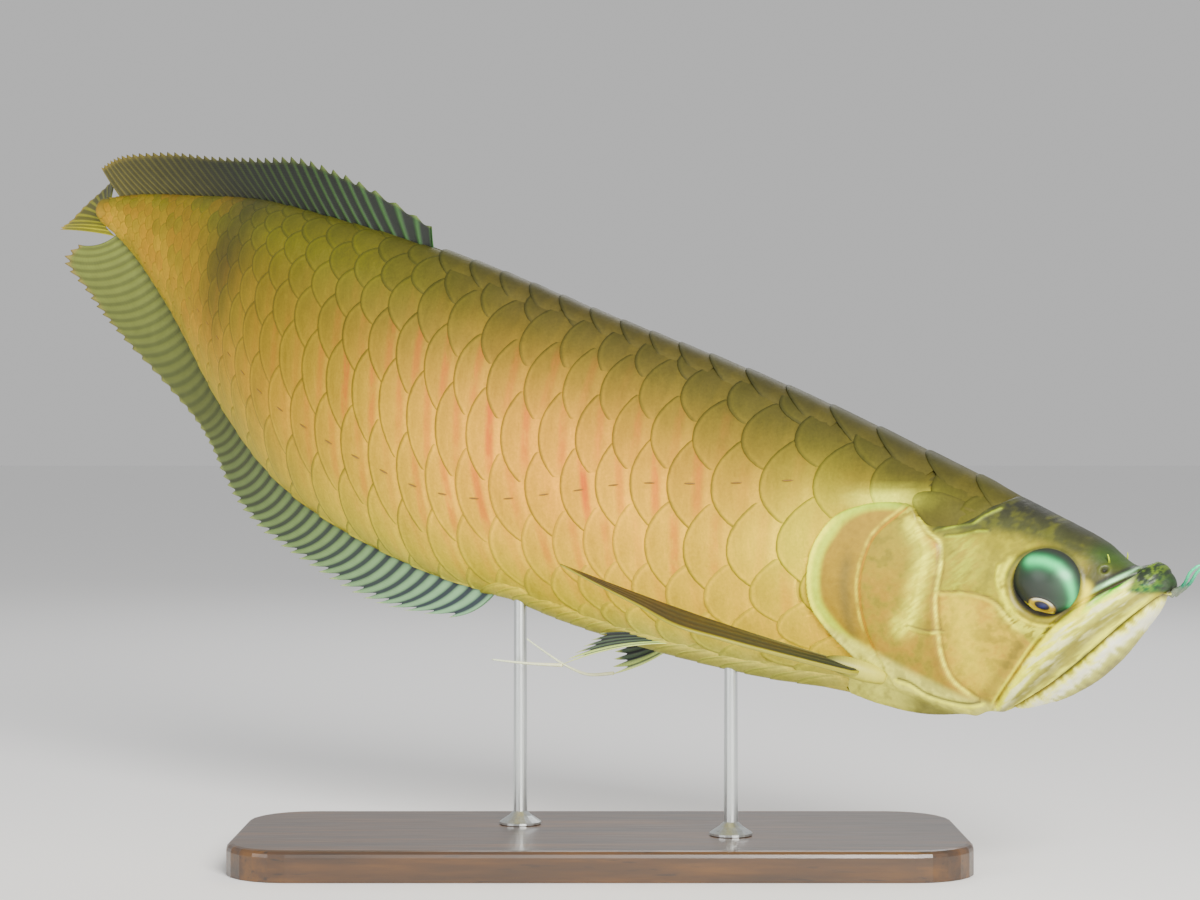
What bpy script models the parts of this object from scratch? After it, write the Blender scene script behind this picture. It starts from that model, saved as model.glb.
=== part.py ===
"""A still, life-size silver arowana, nose down and bending as it turns, on a plain two-rod stand.

Every shape of the fish is laid out on a straight fish first, in three shares of its length:
  s  back from the tip of the jaw, v  up from the body's axis, w  out to the fish's right.
The axis then bends as YAW and PITCH say, and point() carries (s, v, w) along with it.
The origin is the middle of the stand's underside, +Z up; the head points to +X, the right flank to -Y.
"""

import math

import bmesh
import bpy
import numpy as np
from mathutils import Matrix, Vector

# Driving sizes, in metres
LENGTH = 0.66  # tip of the jaw to the root of the tail fin
ANCHOR_SHARE = 0.40  # the point of the axis that stands at ANCHOR
ANCHOR = (0.0158, 0.0, 0.185)
GAP = 0.0003  # clearance between pieces that touch

# How the axis runs: share of the length, and degrees
YAW = [(0, 32), (0.18, 32), (0.30, 24), (0.46, 20), (0.57, 28), (0.67, 37), (0.76, 48), (0.84, 44)]
YAW += [(0.97, 25), (1.06, 18)]
PITCH = [(0, 19), (0.25, 19), (0.50, 20), (0.75, 22), (1.06, 19)]
AXIS_STEPS = 530

# The body's outline above and below the axis, the height of its widest line, and half its width
BACK = [(0.004, 0.0555), (0.007, 0.0600), (0.012, 0.0630), (0.020, 0.0650), (0.032, 0.0595), (0.058, 0.0666)]
BACK += [(0.10, 0.072), (0.20, 0.081), (0.32, 0.090), (0.45, 0.094), (0.57, 0.097), (0.68, 0.089)]
BACK += [(0.78, 0.074), (0.87, 0.049), (0.94, 0.0275), (0.966, 0.0165)]
BELLY = [(0.004, -0.0520), (0.0075, -0.0480), (0.0115, -0.0350), (0.015, -0.0195), (0.0195, -0.0056)]
BELLY += [(0.0275, 0.0110), (0.0445, 0.0336), (0.075, 0.0555), (0.10, 0.069), (0.14, 0.087), (0.175, 0.0935)]
BELLY += [(0.21, 0.0955), (0.25, 0.1045), (0.32, 0.1155), (0.38, 0.121), (0.425, 0.1228), (0.455, 0.1222)]
BELLY += [(0.49, 0.1275), (0.57, 0.1305), (0.68, 0.122), (0.78, 0.096), (0.87, 0.0465), (0.93, 0.0155)]
BELLY += [(0.966, 0.003)]
WIDEST = [(0, 0.053), (0.03, 0.036), (0.10, 0.012), (0.20, 0.0), (0.85, 0.0), (0.966, 0.0065)]
HALF_WIDTH = [(0, 0.003), (0.006, 0.0080), (0.014, 0.0145), (0.03, 0.023), (0.06, 0.0305), (0.10, 0.0355)]
HALF_WIDTH += [(0.20, 0.041), (0.32, 0.045), (0.45, 0.045), (0.57, 0.041), (0.68, 0.034)]
HALF_WIDTH += [(0.78, 0.026), (0.87, 0.017), (0.966, 0.0065)]
BACK_ROUNDNESS = 0.85  # under 1 is a blunt back
BELLY_KEEL = 1.45  # over 1 is a keeled belly

# Where the body is parted: first and last share, and number of rings
HEAD_END = 0.241
LENGTHS = {
    "trunk_front": (HEAD_END, 0.385, 6),
    "trunk_middle": (0.385, 0.53, 6),
    "trunk_rear": (0.53, 0.68, 7),
    "tail": (0.68, 0.83, 8),
    "tail_stalk": (0.83, 0.966, 8),
}
JAW_TIP_SHARE = 0.005
HEAD_MIDDLE = 0.12
HEAD_RINGS, HEAD_CROWDING = 18, 1.5  # over 1 crowds the rings towards the jaw
RING_POINTS = 24
ACROSS = 0.08  # share of the length, well outside the head on either side

# Head plates, as outlines in (s, v)
GAPE = [(-0.03, 0.0545), (0.004, 0.0545), (0.021, 0.028), (0.038, -0.001), (0.058, -0.032), (0.086, -0.066)]
JAW_BELOW = [(0.088, -0.10), (-0.03, -0.10)]
MAXILLA_TOP = [(0.0125, 0.0435), (0.024, 0.0505), (0.034, 0.046), (0.047, 0.034), (0.060, 0.015)]
MAXILLA_TOP += [(0.071, -0.008), (0.081, -0.033), (0.0905, -0.056), (0.0925, -0.072)]
MAXILLA_FOOT = [(0.089, -0.068), (0.059, -0.0315), (0.0392, 0.0), (0.0222, 0.029)]
MAXILLA_INSIDE = 0.010  # how far from the middle plane the plate begins
GILL_FRONT = [(0.176, 0.046), (0.155, 0.036), (0.146, 0.012), (0.137, -0.015), (0.130, -0.040)]
GILL_FRONT += [(0.118, -0.058)]
GILL_REAR = [(0.145, -0.0715), (0.170, -0.0675), (0.190, -0.064), (0.211, -0.055), (0.229, -0.041)]
GILL_REAR += [(0.2375, -0.021), (0.2385, 0.0), (0.232, 0.023), (0.214, 0.037), (0.192, 0.0475)]
GILL_INSIDE = 0.022
GILL_PROUD = 0.0012  # metres that the gill cover stands above the shoulder

# Eyes, in metres but for the first
EYE_PLACE = (0.0775, 0.0335)  # (s, v)
EYE_RADII = (0.0174, 0.0144, 0.0128)  # towards the snout, up and out
EYE_CENTRE_OUT = 0.0134  # from the middle plane
SOCKET_GAP = 0.0004

# Median fins: where each ray's tip stands from its root, back and out, as shares of the length
DORSAL_RAYS, ANAL_RAYS, TAIL_RAYS = 40, 50, 13
RAY_CROWDING = 0.30  # how much closer the rays stand at the rear of a fin than at its middle
DORSAL_BASE = (0.602, 0.950)
DORSAL_BACK = [(0.60, 0.008), (0.612, 0.012), (0.64, 0.035), (0.67, 0.044), (0.70, 0.049), (0.80, 0.058)]
DORSAL_BACK += [(0.86, 0.061), (0.91, 0.054), (0.95, 0.030)]
DORSAL_OUT = [(0.60, 0.013), (0.612, 0.017), (0.64, 0.026), (0.67, 0.030), (0.70, 0.031), (0.745, 0.022)]
DORSAL_OUT += [(0.80, 0.016), (0.86, 0.018), (0.91, 0.016), (0.95, 0.015)]
ANAL_BASE = (0.467, 0.944)
ANAL_BACK = [(0.467, 0.030), (0.48, 0.038), (0.54, 0.041), (0.63, 0.039), (0.71, 0.040), (0.755, 0.029)]
ANAL_BACK += [(0.785, 0.024), (0.82, 0.039), (0.85, 0.055), (0.90, 0.060), (0.93, 0.060), (0.944, 0.036)]
ANAL_OUT = [(0.467, 0.030), (0.49, 0.035), (0.60, 0.036), (0.70, 0.0345), (0.76, 0.025), (0.79, 0.026)]
ANAL_OUT += [(0.82, 0.029), (0.86, 0.032), (0.90, 0.032), (0.93, 0.026), (0.944, 0.018)]
NOTCH = 0.93  # how far out the web reaches between two rays
FIN_ROOT_THICK, FIN_TIP_THICK = 0.0016, 0.0007
FIN_CLEARANCE = 0.0008  # share of the length between the flesh and a fin's root
TAIL_FIN_ROOT = [(0, 0.968), (0.7, 0.968), (0.88, 0.963), (1, 0.953)]  # share, highest ray to lowest
TAIL_FIN_HEIGHT = (0.0165, -0.0105)  # highest and lowest root
TAIL_FIN_LENGTH = [(0, 0.036), (0.5, 0.044), (1, 0.052)]
TAIL_FIN_RISE_DEG = [(0, 34), (0.5, 2), (0.8, -17), (1, -14)]
TAIL_FIN_CURL_DEG = 58  # how far the upper rays bend to the fish's left
TAIL_FIN_CURL_POWER = 1.7

# Paired fins, in metres but for the places
PECTORAL_ROOT = (0.184, -0.0680)
PECTORAL_LENGTH, PECTORAL_CHORD = 0.141, 0.023
PECTORAL_WIDTH = [(0, 0.50), (0.2, 0.66), (0.45, 0.90), (0.60, 1.0), (0.72, 0.66), (0.86, 0.36), (1, 0.05)]
PECTORAL_OUT_DEG, PECTORAL_LIFT_DEG, PECTORAL_TILT_DEG = 27, 2, 7
PECTORAL_BOW = 0.005
PECTORAL_THICK = (0.0024, 0.0008)  # root and tip
PECTORAL_RIDGE = 0.6  # where across the blade it is thickest
PECTORAL_RINGS = 12
PELVIC_ROOT = (0.330, -0.1125, 0.0118)
PELVIC_BASE = 0.011
PELVIC_RAYS = 7
PELVIC_REACH = {"right": (0.0445, 0.022), "left": (0.031, 0.021)}  # outermost and innermost ray
PELVIC_DROP = {"right": (0.0245, 0.0045), "left": (0.0265, 0.007)}
PELVIC_SPREAD = (0.010, 0.003)
FILAMENT_RADIUS, FILAMENT_GAP = 0.0005, 0.0008
FILAMENT_BACK = {"right": 0.037, "left": 0.047}
FILAMENT_DROP = {
    "right": [(0, 0), (0.4, 0.0052), (0.75, 0.0092), (1, 0.0118)],
    "left": [(0, 0), (0.25, 0.0050), (0.5, 0.0048), (0.75, 0.0022), (1, -0.0010)],
}
FILAMENT_IN = 0.006
BARBEL_ROOT = (0.005, 0.0532, 0.0040)
BARBEL_AHEAD, BARBEL_RISE, BARBEL_OUT = 0.0074, 0.0147, 0.0030
BARBEL_RADIUS, BARBEL_STAND_OFF = 0.0010, 0.0014
BARBEL_SWAY = 0.12  # how far each barbel bows, as a share of its reach
THREAD_SIDES, THREAD_RINGS = 8, 9
FILAMENT_TAPER, BARBEL_TAPER = 0.7, 0.5  # radius at the tip over radius at the root

# Stand, in metres
BASE_SIZE = (0.34, 0.13, 0.014)
BASE_CORNER, BASE_EDGE = 0.030, 0.003
ROD_RADIUS = 0.003
FOOT_PROFILE = [(0.0033, 0.006), (0.0055, 0.004), (0.010, 0.001), (0.010, 0.0)]  # radius, height
ROD_SHARES = {"stand_rod_front": 0.285, "stand_rod_rear": 0.448}
ROD_DEPTH = 0.012  # how far a rod goes into the belly
ROD_STEPS = 20


def smooth(table, s):
    """The value at s of a smooth curve through the table's points."""
    x, y = np.array(table, float).T
    slope = np.gradient(y, x)
    i = np.clip(np.searchsorted(x, s) - 1, 0, len(x) - 2)
    step = x[i + 1] - x[i]
    t = (s - x[i]) / step
    start = y[i] * (1 + 2 * t) + step * slope[i] * t
    end = y[i + 1] * (3 - 2 * t) - step * slope[i + 1] * (1 - t)
    return start * (1 - t) ** 2 + end * t**2


def between(ends, t):
    return ends[0] + (ends[1] - ends[0]) * t


def curved(outline, steps=3):
    """An open outline with its corners rounded off, still through every point."""
    places = np.linspace(0, len(outline) - 1, (len(outline) - 1) * steps + 1)
    columns = [[(k, p[axis]) for k, p in enumerate(outline)] for axis in (0, 1)]
    return [tuple(float(smooth(column, t)) for column in columns) for t in places]


def axes(s):
    """Unit vectors towards the head, the back and the fish's right, at share s."""
    yaw, pitch = np.radians(smooth(YAW, s)), np.radians(smooth(PITCH, s))
    ahead = np.array([np.cos(yaw) * np.cos(pitch), -np.sin(yaw) * np.cos(pitch), -np.sin(pitch)])
    up = np.array([np.cos(yaw) * np.sin(pitch), -np.sin(yaw) * np.sin(pitch), np.cos(pitch)])
    return ahead, up, np.cross(ahead, up)


def axis_vectors(s):
    return [Vector(a) for a in axes(s)]


def axis_line():
    """Points of the bent axis at even shares, found by stepping back from the jaw."""
    shares = np.linspace(0, YAW[-1][0], AXIS_STEPS + 1)
    steps = np.array([axes(s)[0] for s in (shares[1:] + shares[:-1]) / 2]) * (shares[1] * LENGTH)
    line = np.vstack([np.zeros(3), -np.cumsum(steps, axis=0)])
    middle = [np.interp(ANCHOR_SHARE, shares, line[:, k]) for k in range(3)]
    return shares, line - middle + ANCHOR


AXIS_SHARES, AXIS_POINTS = axis_line()


def point(s, v, w):
    """The place in space of a point of the straight fish."""
    centre = [np.interp(s, AXIS_SHARES, AXIS_POINTS[:, k]) for k in range(3)]
    _, up, right = axes(s)
    return Vector(centre + (up * v + right * w) * LENGTH)


def half_width(s, v):
    """How far out the flesh reaches at share s and height v."""
    middle = smooth(WIDEST, s)
    reach = smooth(BACK, s) - middle if v > middle else smooth(BELLY, s) + middle
    side = math.sqrt(max(0.0, 1 - ((v - middle) / reach) ** 2))
    return smooth(HALF_WIDTH, s) * side ** (BACK_ROUNDNESS if v > middle else BELLY_KEEL)


def section(s, grow=0.0):
    """One ring of the body's surface; grow is in metres."""
    middle, more = smooth(WIDEST, s), grow / LENGTH
    ring = []
    for k in range(RING_POINTS):
        angle = 2 * math.pi * k / RING_POINTS
        rise, side = math.sin(angle), math.cos(angle)
        reach = smooth(BACK, s) - middle if rise > 0 else smooth(BELLY, s) + middle
        power = BACK_ROUNDNESS if rise > 0 else BELLY_KEEL
        out = math.copysign(abs(side) ** power, side) if abs(side) > 1e-9 else 0.0
        ring.append(point(s, middle + rise * (reach + more), out * (smooth(HALF_WIDTH, s) + more)))
    return ring


def material(name, colour, roughness=0.45, metallic=0.0):
    made = bpy.data.materials.get(name)
    if made is None:
        made = bpy.data.materials.new(name)
        made.use_nodes = True
        shader = made.node_tree.nodes["Principled BSDF"]
        shader.inputs["Base Color"].default_value = (*colour, 1)
        shader.inputs["Roughness"].default_value = roughness
        shader.inputs["Metallic"].default_value = metallic
    return made


MATERIALS = {
    "scales": ((0.62, 0.45, 0.20), 0.35, 0.3),
    "head": ((0.50, 0.42, 0.22), 0.35, 0.3),
    "jaw": ((0.78, 0.72, 0.45), 0.30, 0.3),
    "gill": ((0.62, 0.55, 0.22), 0.32, 0.3),
    "fin": ((0.27, 0.36, 0.28), 0.45, 0.0),
    "eye": ((0.03, 0.16, 0.10), 0.08, 0.1),
    "barbel": ((0.10, 0.42, 0.34), 0.40, 0.0),
    "steel": ((0.60, 0.60, 0.60), 0.25, 1.0),
    "wood": ((0.10, 0.06, 0.04), 0.40, 0.0),
}
SHARP_EDGE_DEG = 40


def make_object(name, bm, finish):
    """A named object from a bmesh, its faces turned outwards."""
    bm.normal_update()
    bmesh.ops.recalc_face_normals(bm, faces=bm.faces)
    mesh = bpy.data.meshes.new(name)
    bm.to_mesh(mesh)
    bm.free()
    mesh.shade_smooth()
    mesh.set_sharp_from_angle(angle=math.radians(SHARP_EDGE_DEG))
    obj = bpy.data.objects.new(name, mesh)
    mesh.materials.append(material(finish, *MATERIALS[finish]))
    bpy.context.scene.collection.objects.link(obj)
    return obj


def loft(rings):
    """A closed bmesh through rings of equal count, with a flat cap at each end."""
    bm = bmesh.new()
    rows = [[bm.verts.new(p) for p in ring] for ring in rings]
    for a, b in zip(rows, rows[1:]):
        for k in range(len(a)):
            j = (k + 1) % len(a)
            bm.faces.new((a[k], a[j], b[j], b[k]))
    bm.faces.new(rows[0])
    bm.faces.new(rows[-1])
    return bm


def head_point(s, v, w):
    """As point(), but on the head's own straight axes, so that the cuts between its plates are flat."""
    ahead, up, right = axis_vectors(HEAD_MIDDLE)
    return point(HEAD_MIDDLE, 0, 0) + (ahead * (HEAD_MIDDLE - s) + up * v + right * w) * LENGTH


def prism(outline, inside, outside):
    """A closed bmesh of an outline on the head that runs from w = inside to w = outside."""
    return loft([[head_point(s, v, w) for s, v in outline] for w in (inside, outside)])


def grown(outline, by):
    """The outline moved outwards by a share of the length."""
    count = len(outline)
    area = sum(outline[k - 1][0] * outline[k][1] - outline[k][0] * outline[k - 1][1] for k in range(count))
    sign = math.copysign(by, area)
    moved = []
    for k in range(count):
        before, here, after = (Vector(outline[j % count]) for j in (k - 1, k, k + 1))
        normals = [Vector((d.y, -d.x)).normalized() for d in (here - before, after - here)]
        mitre = (normals[0] + normals[1]).normalized()
        moved.append(tuple(here + mitre * (sign / max(0.5, mitre.dot(normals[0])))))
    return moved


def boolean(obj, cutter, operation="DIFFERENCE"):
    cutter.hide_render = True
    cutter.display_type = "WIRE"
    modifier = obj.modifiers.new(cutter.name, "BOOLEAN")
    modifier.object = cutter
    modifier.operation = operation


def head_hull(name, grow=0.0, finish="head"):
    reach = HEAD_END - GAP / LENGTH - JAW_TIP_SHARE
    shares = JAW_TIP_SHARE + reach * np.linspace(0, 1, HEAD_RINGS) ** HEAD_CROWDING
    return make_object(name, loft([section(s, grow) for s in shares]), finish)


def side_plate(head, name, outline, inside, sign, proud, finish):
    """A plate of the hull's own surface on one side of the head, set in a pocket of the head."""
    share_gap = GAP / LENGTH
    plate = head_hull(name, proud, finish)
    shape = prism(outline, sign * inside, sign * ACROSS)
    boolean(plate, make_object("cut_shape_" + name, shape, finish), "INTERSECT")
    shape = prism(grown(outline, share_gap), sign * (inside - share_gap), sign * ACROSS)
    boolean(head, make_object("cut_pocket_" + name, shape, finish))
    return plate


def make_head():
    """The skull and cheeks, less the pockets for the jaw, the side plates, the gill covers and the eyes."""
    head = head_hull("head")
    jaw = head_hull("lower_jaw", finish="jaw")
    lower_jaw = curved(GAPE) + JAW_BELOW
    boolean(jaw, make_object("cut_shape_jaw", prism(lower_jaw, -ACROSS, ACROSS), "jaw"), "INTERSECT")
    pocket = make_object("cut_pocket_jaw", prism(grown(lower_jaw, GAP / LENGTH), -ACROSS, ACROSS), "jaw")
    boolean(head, pocket)
    maxilla = curved(MAXILLA_TOP) + curved(MAXILLA_FOOT)
    gill_cover = curved(GILL_FRONT)[:-1] + curved(GILL_FRONT[-1:] + GILL_REAR + GILL_FRONT[:1])[:-1]
    for side, sign in (("right", 1), ("left", -1)):
        plate = side_plate(head, "maxilla_" + side, maxilla, MAXILLA_INSIDE, sign, 0.0, "jaw")
        socket = eye_ball("cut_socket_" + side, sign, SOCKET_GAP)
        boolean(plate, pocket)
        boolean(plate, socket)
        boolean(head, socket)
        side_plate(head, "gill_cover_" + side, gill_cover, GILL_INSIDE, sign, GILL_PROUD, "gill")
        eye_ball("eye_" + side, sign, 0.0)


def eye_ball(name, sign, grow):
    """A flattened ball that looks out and down from its socket."""
    bm = bmesh.new()
    bmesh.ops.create_uvsphere(bm, u_segments=18, v_segments=11, radius=1)
    s, v = EYE_PLACE
    ahead, up, right = axis_vectors(s)
    turn = Matrix((ahead, up, right * sign)).transposed()
    centre = point(s, v, sign * EYE_CENTRE_OUT / LENGTH)
    for vert in bm.verts:
        vert.co = centre + turn @ Vector([c * (r + grow) for c, r in zip(vert.co, EYE_RADII)])
    return make_object(name, bm, "eye")


def make_trunk():
    pieces = {}
    for name, (start, end, rings) in LENGTHS.items():
        shares = np.linspace(start, end - GAP / LENGTH, rings)
        pieces[name] = make_object(name, loft([section(s) for s in shares]), "scales")
    return pieces


def web(name, roots, tips, across):
    """A fin of rays: a thin closed strip that is scalloped between the tips."""
    rings = []
    for k, (root, tip) in enumerate(zip(roots, tips)):
        if k:
            notch_root = (root + roots[k - 1]) / 2
            notch = notch_root.lerp((tip + tips[k - 1]) / 2, NOTCH)
            rings.append((notch_root, notch, across[k]))
        rings.append((root, tip, across[k]))
    thick = (FIN_ROOT_THICK / 2, FIN_TIP_THICK / 2)
    strip = [[r + a * thick[0], t + a * thick[1], t - a * thick[1], r - a * thick[0]] for r, t, a in rings]
    return make_object(name, loft(strip), "fin")


def ray_shares(base, rays):
    """Where a fin's rays stand along its base, closer together towards the tail."""
    t = np.linspace(0, 1, rays)
    return base[0] + (base[1] - base[0]) * t * (1 + RAY_CROWDING * (1 - t))


def median_fin(name, base, rays, outline, sign, back, out):
    shares = ray_shares(base, rays)
    edge = [sign * (smooth(outline, s) + FIN_CLEARANCE) for s in shares]
    roots = [point(s, v, 0) for s, v in zip(shares, edge)]
    tips = [point(s + smooth(back, s), v + sign * smooth(out, s), 0) for s, v in zip(shares, edge)]
    return web(name, roots, tips, [Vector(axes(s)[2]) for s in shares])


def make_tail_fin():
    """A small fan whose upper rays curl away to the left."""
    roots, tips, across = [], [], []
    ahead, up, right = axis_vectors(TAIL_FIN_ROOT[-1][1])
    for t in np.linspace(0, 1, TAIL_RAYS):
        rise = math.radians(smooth(TAIL_FIN_RISE_DEG, t))
        curl = math.radians(TAIL_FIN_CURL_DEG * (1 - t**TAIL_FIN_CURL_POWER))
        level = -ahead * math.cos(curl) - right * math.sin(curl)
        root = point(float(smooth(TAIL_FIN_ROOT, t)), between(TAIL_FIN_HEIGHT, t), 0)
        roots.append(root)
        reach = smooth(TAIL_FIN_LENGTH, t) * LENGTH
        tips.append(root + (level * math.cos(rise) + up * math.sin(rise)) * reach)
        across.append(level.cross(up).normalized())
    web("tail_fin", roots, tips, across)


def blade_section(inner, outer, normal, thick):
    middle = inner.lerp(outer, PECTORAL_RIDGE)
    return [inner, middle + normal * (thick / 2), outer, middle - normal * (thick / 2)]


def make_pectoral(side, sign):
    """A long sickle, swept back from just behind the throat, its leading edge turned down."""
    s, v = PECTORAL_ROOT
    ahead, up, right = axis_vectors(s)
    out = right * sign
    sweep, tilt = math.radians(PECTORAL_OUT_DEG), math.radians(PECTORAL_TILT_DEG)
    lift = math.tan(math.radians(PECTORAL_LIFT_DEG))
    along = (-ahead * math.cos(sweep) + out * math.sin(sweep) + up * lift).normalized()
    flat = ahead * math.sin(sweep) + out * math.cos(sweep)
    chord = flat * math.cos(tilt) - up * math.sin(tilt)
    normal = along.cross(chord).normalized()
    start = point(s, v, sign * (half_width(s, v) + 2 * GAP / LENGTH)) + out * PECTORAL_THICK[0]
    rings = []
    for t in np.linspace(0, 1, PECTORAL_RINGS):
        bow = chord * (4 * PECTORAL_BOW * t * (1 - t))
        inner = start + along * (PECTORAL_LENGTH * t) + bow
        outer = inner + chord * (PECTORAL_CHORD * smooth(PECTORAL_WIDTH, t))
        thick = PECTORAL_THICK[0] + (PECTORAL_THICK[1] - PECTORAL_THICK[0]) * t
        rings.append(blade_section(inner, outer, normal, thick))
    make_object("pectoral_fin_" + side, loft(rings), "fin")


def make_pelvic(side, sign):
    """A small fan folded back along the belly, whose outermost ray runs on as a long thread."""
    s, v, w = PELVIC_ROOT
    ahead, up, right = axis_vectors(s)
    out = right * sign
    roots, tips = [], []
    for t in np.linspace(0, 1, PELVIC_RAYS):
        root = point(s, v, sign * w) - ahead * (PELVIC_BASE * t)
        reach, drop = between(PELVIC_REACH[side], t), between(PELVIC_DROP[side], t)
        roots.append(root)
        tips.append(root - ahead * reach - up * drop + out * between(PELVIC_SPREAD, t))
    across = [(tips[0] - roots[0]).cross(tips[-1] - roots[-1]).normalized()] * PELVIC_RAYS
    web("pelvic_fin_" + side, roots, tips, across)
    start = tips[0] + (tips[0] - roots[0]).normalized() * FILAMENT_GAP
    line = []
    for t in np.linspace(0, 1, THREAD_RINGS):
        level = -ahead * (FILAMENT_BACK[side] * t) - out * (FILAMENT_IN * t)
        line.append(start + level - up * float(smooth(FILAMENT_DROP[side], t)))
    tube("pelvic_filament_" + side, line, FILAMENT_RADIUS, FILAMENT_TAPER, "fin")


def tube(name, line, radius, taper, finish):
    """A round thread along a line that ends at taper times its radius."""
    rings = []
    for k, p in enumerate(line):
        along = (line[min(k + 1, len(line) - 1)] - line[max(k - 1, 0)]).normalized()
        side = along.cross(Vector((0, 0, 1))).normalized()
        lift = side.cross(along)
        size = radius * (1 + (taper - 1) * k / (len(line) - 1))
        turns = [2 * math.pi * j / THREAD_SIDES for j in range(THREAD_SIDES)]
        rings.append([p + (side * math.cos(a) + lift * math.sin(a)) * size for a in turns])
    return make_object(name, loft(rings), finish)


def make_barbels():
    """Two feelers that point up and forward from the tip of the lower jaw."""
    s, v, w = BARBEL_ROOT
    ahead, up, right = axis_vectors(s)
    for side, sign in (("right", 1), ("left", -1)):
        start = point(s, v, sign * w) + ahead * BARBEL_STAND_OFF
        line = []
        for t in np.linspace(0, 1, THREAD_RINGS):
            sway = BARBEL_SWAY * math.sin(2 * math.pi * t)
            forward = ahead * (BARBEL_AHEAD * (t + sway)) + right * (sign * BARBEL_OUT * t)
            line.append(start + forward + up * (BARBEL_RISE * t))
        tube("barbel_" + side, line, BARBEL_RADIUS, BARBEL_TAPER, "barbel")


def turned(name, profile, centre, finish):
    """A round piece from (radius, height) steps, the first and last on its axis."""
    bm = bmesh.new()
    verts = [bm.verts.new((centre[0] + r, centre[1], z)) for r, z in profile]
    edges = [bm.edges.new(pair) for pair in zip(verts, verts[1:])]
    bmesh.ops.spin(
        bm,
        geom=verts + edges,
        cent=(centre[0], centre[1], 0),
        axis=(0, 0, 1),
        angle=2 * math.pi,
        steps=ROD_STEPS,
        use_merge=True,
    )
    bmesh.ops.remove_doubles(bm, verts=bm.verts, dist=1e-6)
    return make_object(name, bm, finish)


def make_stand(trunk):
    """A flat base and two rods that end inside the belly."""
    height = BASE_SIZE[2]
    bm = bmesh.new()
    bmesh.ops.create_cube(bm, size=1)
    bmesh.ops.scale(bm, vec=BASE_SIZE, verts=bm.verts)
    bmesh.ops.translate(bm, vec=(0, 0, height / 2), verts=bm.verts)
    uprights = [e for e in bm.edges if abs((e.verts[0].co - e.verts[1].co).z) > height / 2]
    bmesh.ops.bevel(bm, geom=uprights, offset=BASE_CORNER, segments=6, profile=0.5, affect="EDGES")
    rim = [e for e in bm.edges if min(v.co.z for v in e.verts) > height - 1e-6]
    bmesh.ops.bevel(bm, geom=rim, offset=BASE_EDGE, segments=3, profile=0.5, affect="EDGES")
    make_object("stand_base", bm, "wood")
    foot = height + GAP
    for name, share in ROD_SHARES.items():
        belly = point(share, -smooth(BELLY, share), 0)
        top = belly.z + ROD_DEPTH
        steps = [(radius, foot + z) for radius, z in FOOT_PROFILE]
        turned(name, [(0, top), (ROD_RADIUS, top), *steps, (0, foot)], belly, "steel")
        bore, crown = ROD_RADIUS + GAP, top + GAP
        hole = [(0, crown), (bore, crown), (bore, foot), (0, foot)]
        cutter = turned("cut_" + name, hole, belly, "steel")
        piece = next(n for n, (start, end, _) in LENGTHS.items() if start < share < end)
        boolean(trunk[piece], cutter)


def main():
    for obj in list(bpy.data.objects):
        bpy.data.objects.remove(obj)
    make_head()
    trunk = make_trunk()
    median_fin("dorsal_fin", DORSAL_BASE, DORSAL_RAYS, BACK, 1, DORSAL_BACK, DORSAL_OUT)
    median_fin("anal_fin", ANAL_BASE, ANAL_RAYS, BELLY, -1, ANAL_BACK, ANAL_OUT)
    make_tail_fin()
    for side, sign in (("right", 1), ("left", -1)):
        make_pectoral(side, sign)
        make_pelvic(side, sign)
    make_barbels()
    make_stand(trunk)


main()
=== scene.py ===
import math

import bpy
import numpy as np
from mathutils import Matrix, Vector, noise


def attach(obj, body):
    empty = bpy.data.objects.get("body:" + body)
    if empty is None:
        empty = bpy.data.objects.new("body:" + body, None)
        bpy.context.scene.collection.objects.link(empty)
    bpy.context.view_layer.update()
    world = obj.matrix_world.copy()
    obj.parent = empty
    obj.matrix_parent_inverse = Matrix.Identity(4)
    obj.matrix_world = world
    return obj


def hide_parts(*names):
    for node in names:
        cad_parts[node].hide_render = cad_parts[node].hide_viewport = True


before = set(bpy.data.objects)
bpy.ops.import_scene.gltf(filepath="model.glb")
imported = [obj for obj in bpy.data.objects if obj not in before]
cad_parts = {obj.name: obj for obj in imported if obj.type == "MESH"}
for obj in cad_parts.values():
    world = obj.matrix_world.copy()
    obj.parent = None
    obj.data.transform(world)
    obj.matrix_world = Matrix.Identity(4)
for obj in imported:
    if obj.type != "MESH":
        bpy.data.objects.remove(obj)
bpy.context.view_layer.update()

# ---------------------------------------------------------------- the hide
# One wet skin over the skull, the jaws, the cheeks, the gill covers and the long flat trunk, cast in one
# piece on the bent line of the fish. Behind the gill covers it lies lower by the depth of the scales.
# Every place is (s, v, w): back from the tip of the jaw, up from the axis and out to the right, each as a
# share of the length.
LENGTH = 0.66
ANCHOR_SHARE, ANCHOR = 0.40, (0.0158, 0.0, 0.185)
YAW = [(0, 32), (0.18, 32), (0.30, 24), (0.46, 20), (0.57, 28), (0.67, 37), (0.76, 48), (0.84, 44)]
YAW += [(0.97, 25), (1.06, 18)]
PITCH = [(0, 19), (0.25, 19), (0.50, 20), (0.75, 22), (1.06, 19)]
BACK = [(0.004, 0.0555), (0.007, 0.0600), (0.012, 0.0630), (0.020, 0.0650), (0.032, 0.0595), (0.058, 0.0666)]
BACK += [(0.10, 0.072), (0.20, 0.081), (0.32, 0.090), (0.45, 0.094), (0.57, 0.097), (0.68, 0.089)]
BACK += [(0.78, 0.074), (0.87, 0.049), (0.94, 0.0275), (0.966, 0.0165)]
BELLY = [(0.004, -0.0520), (0.0075, -0.0480), (0.0115, -0.0350), (0.015, -0.0195), (0.0195, -0.0056)]
BELLY += [(0.0275, 0.0110), (0.0445, 0.0336), (0.075, 0.0555), (0.10, 0.069), (0.14, 0.087), (0.175, 0.0935)]
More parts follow.
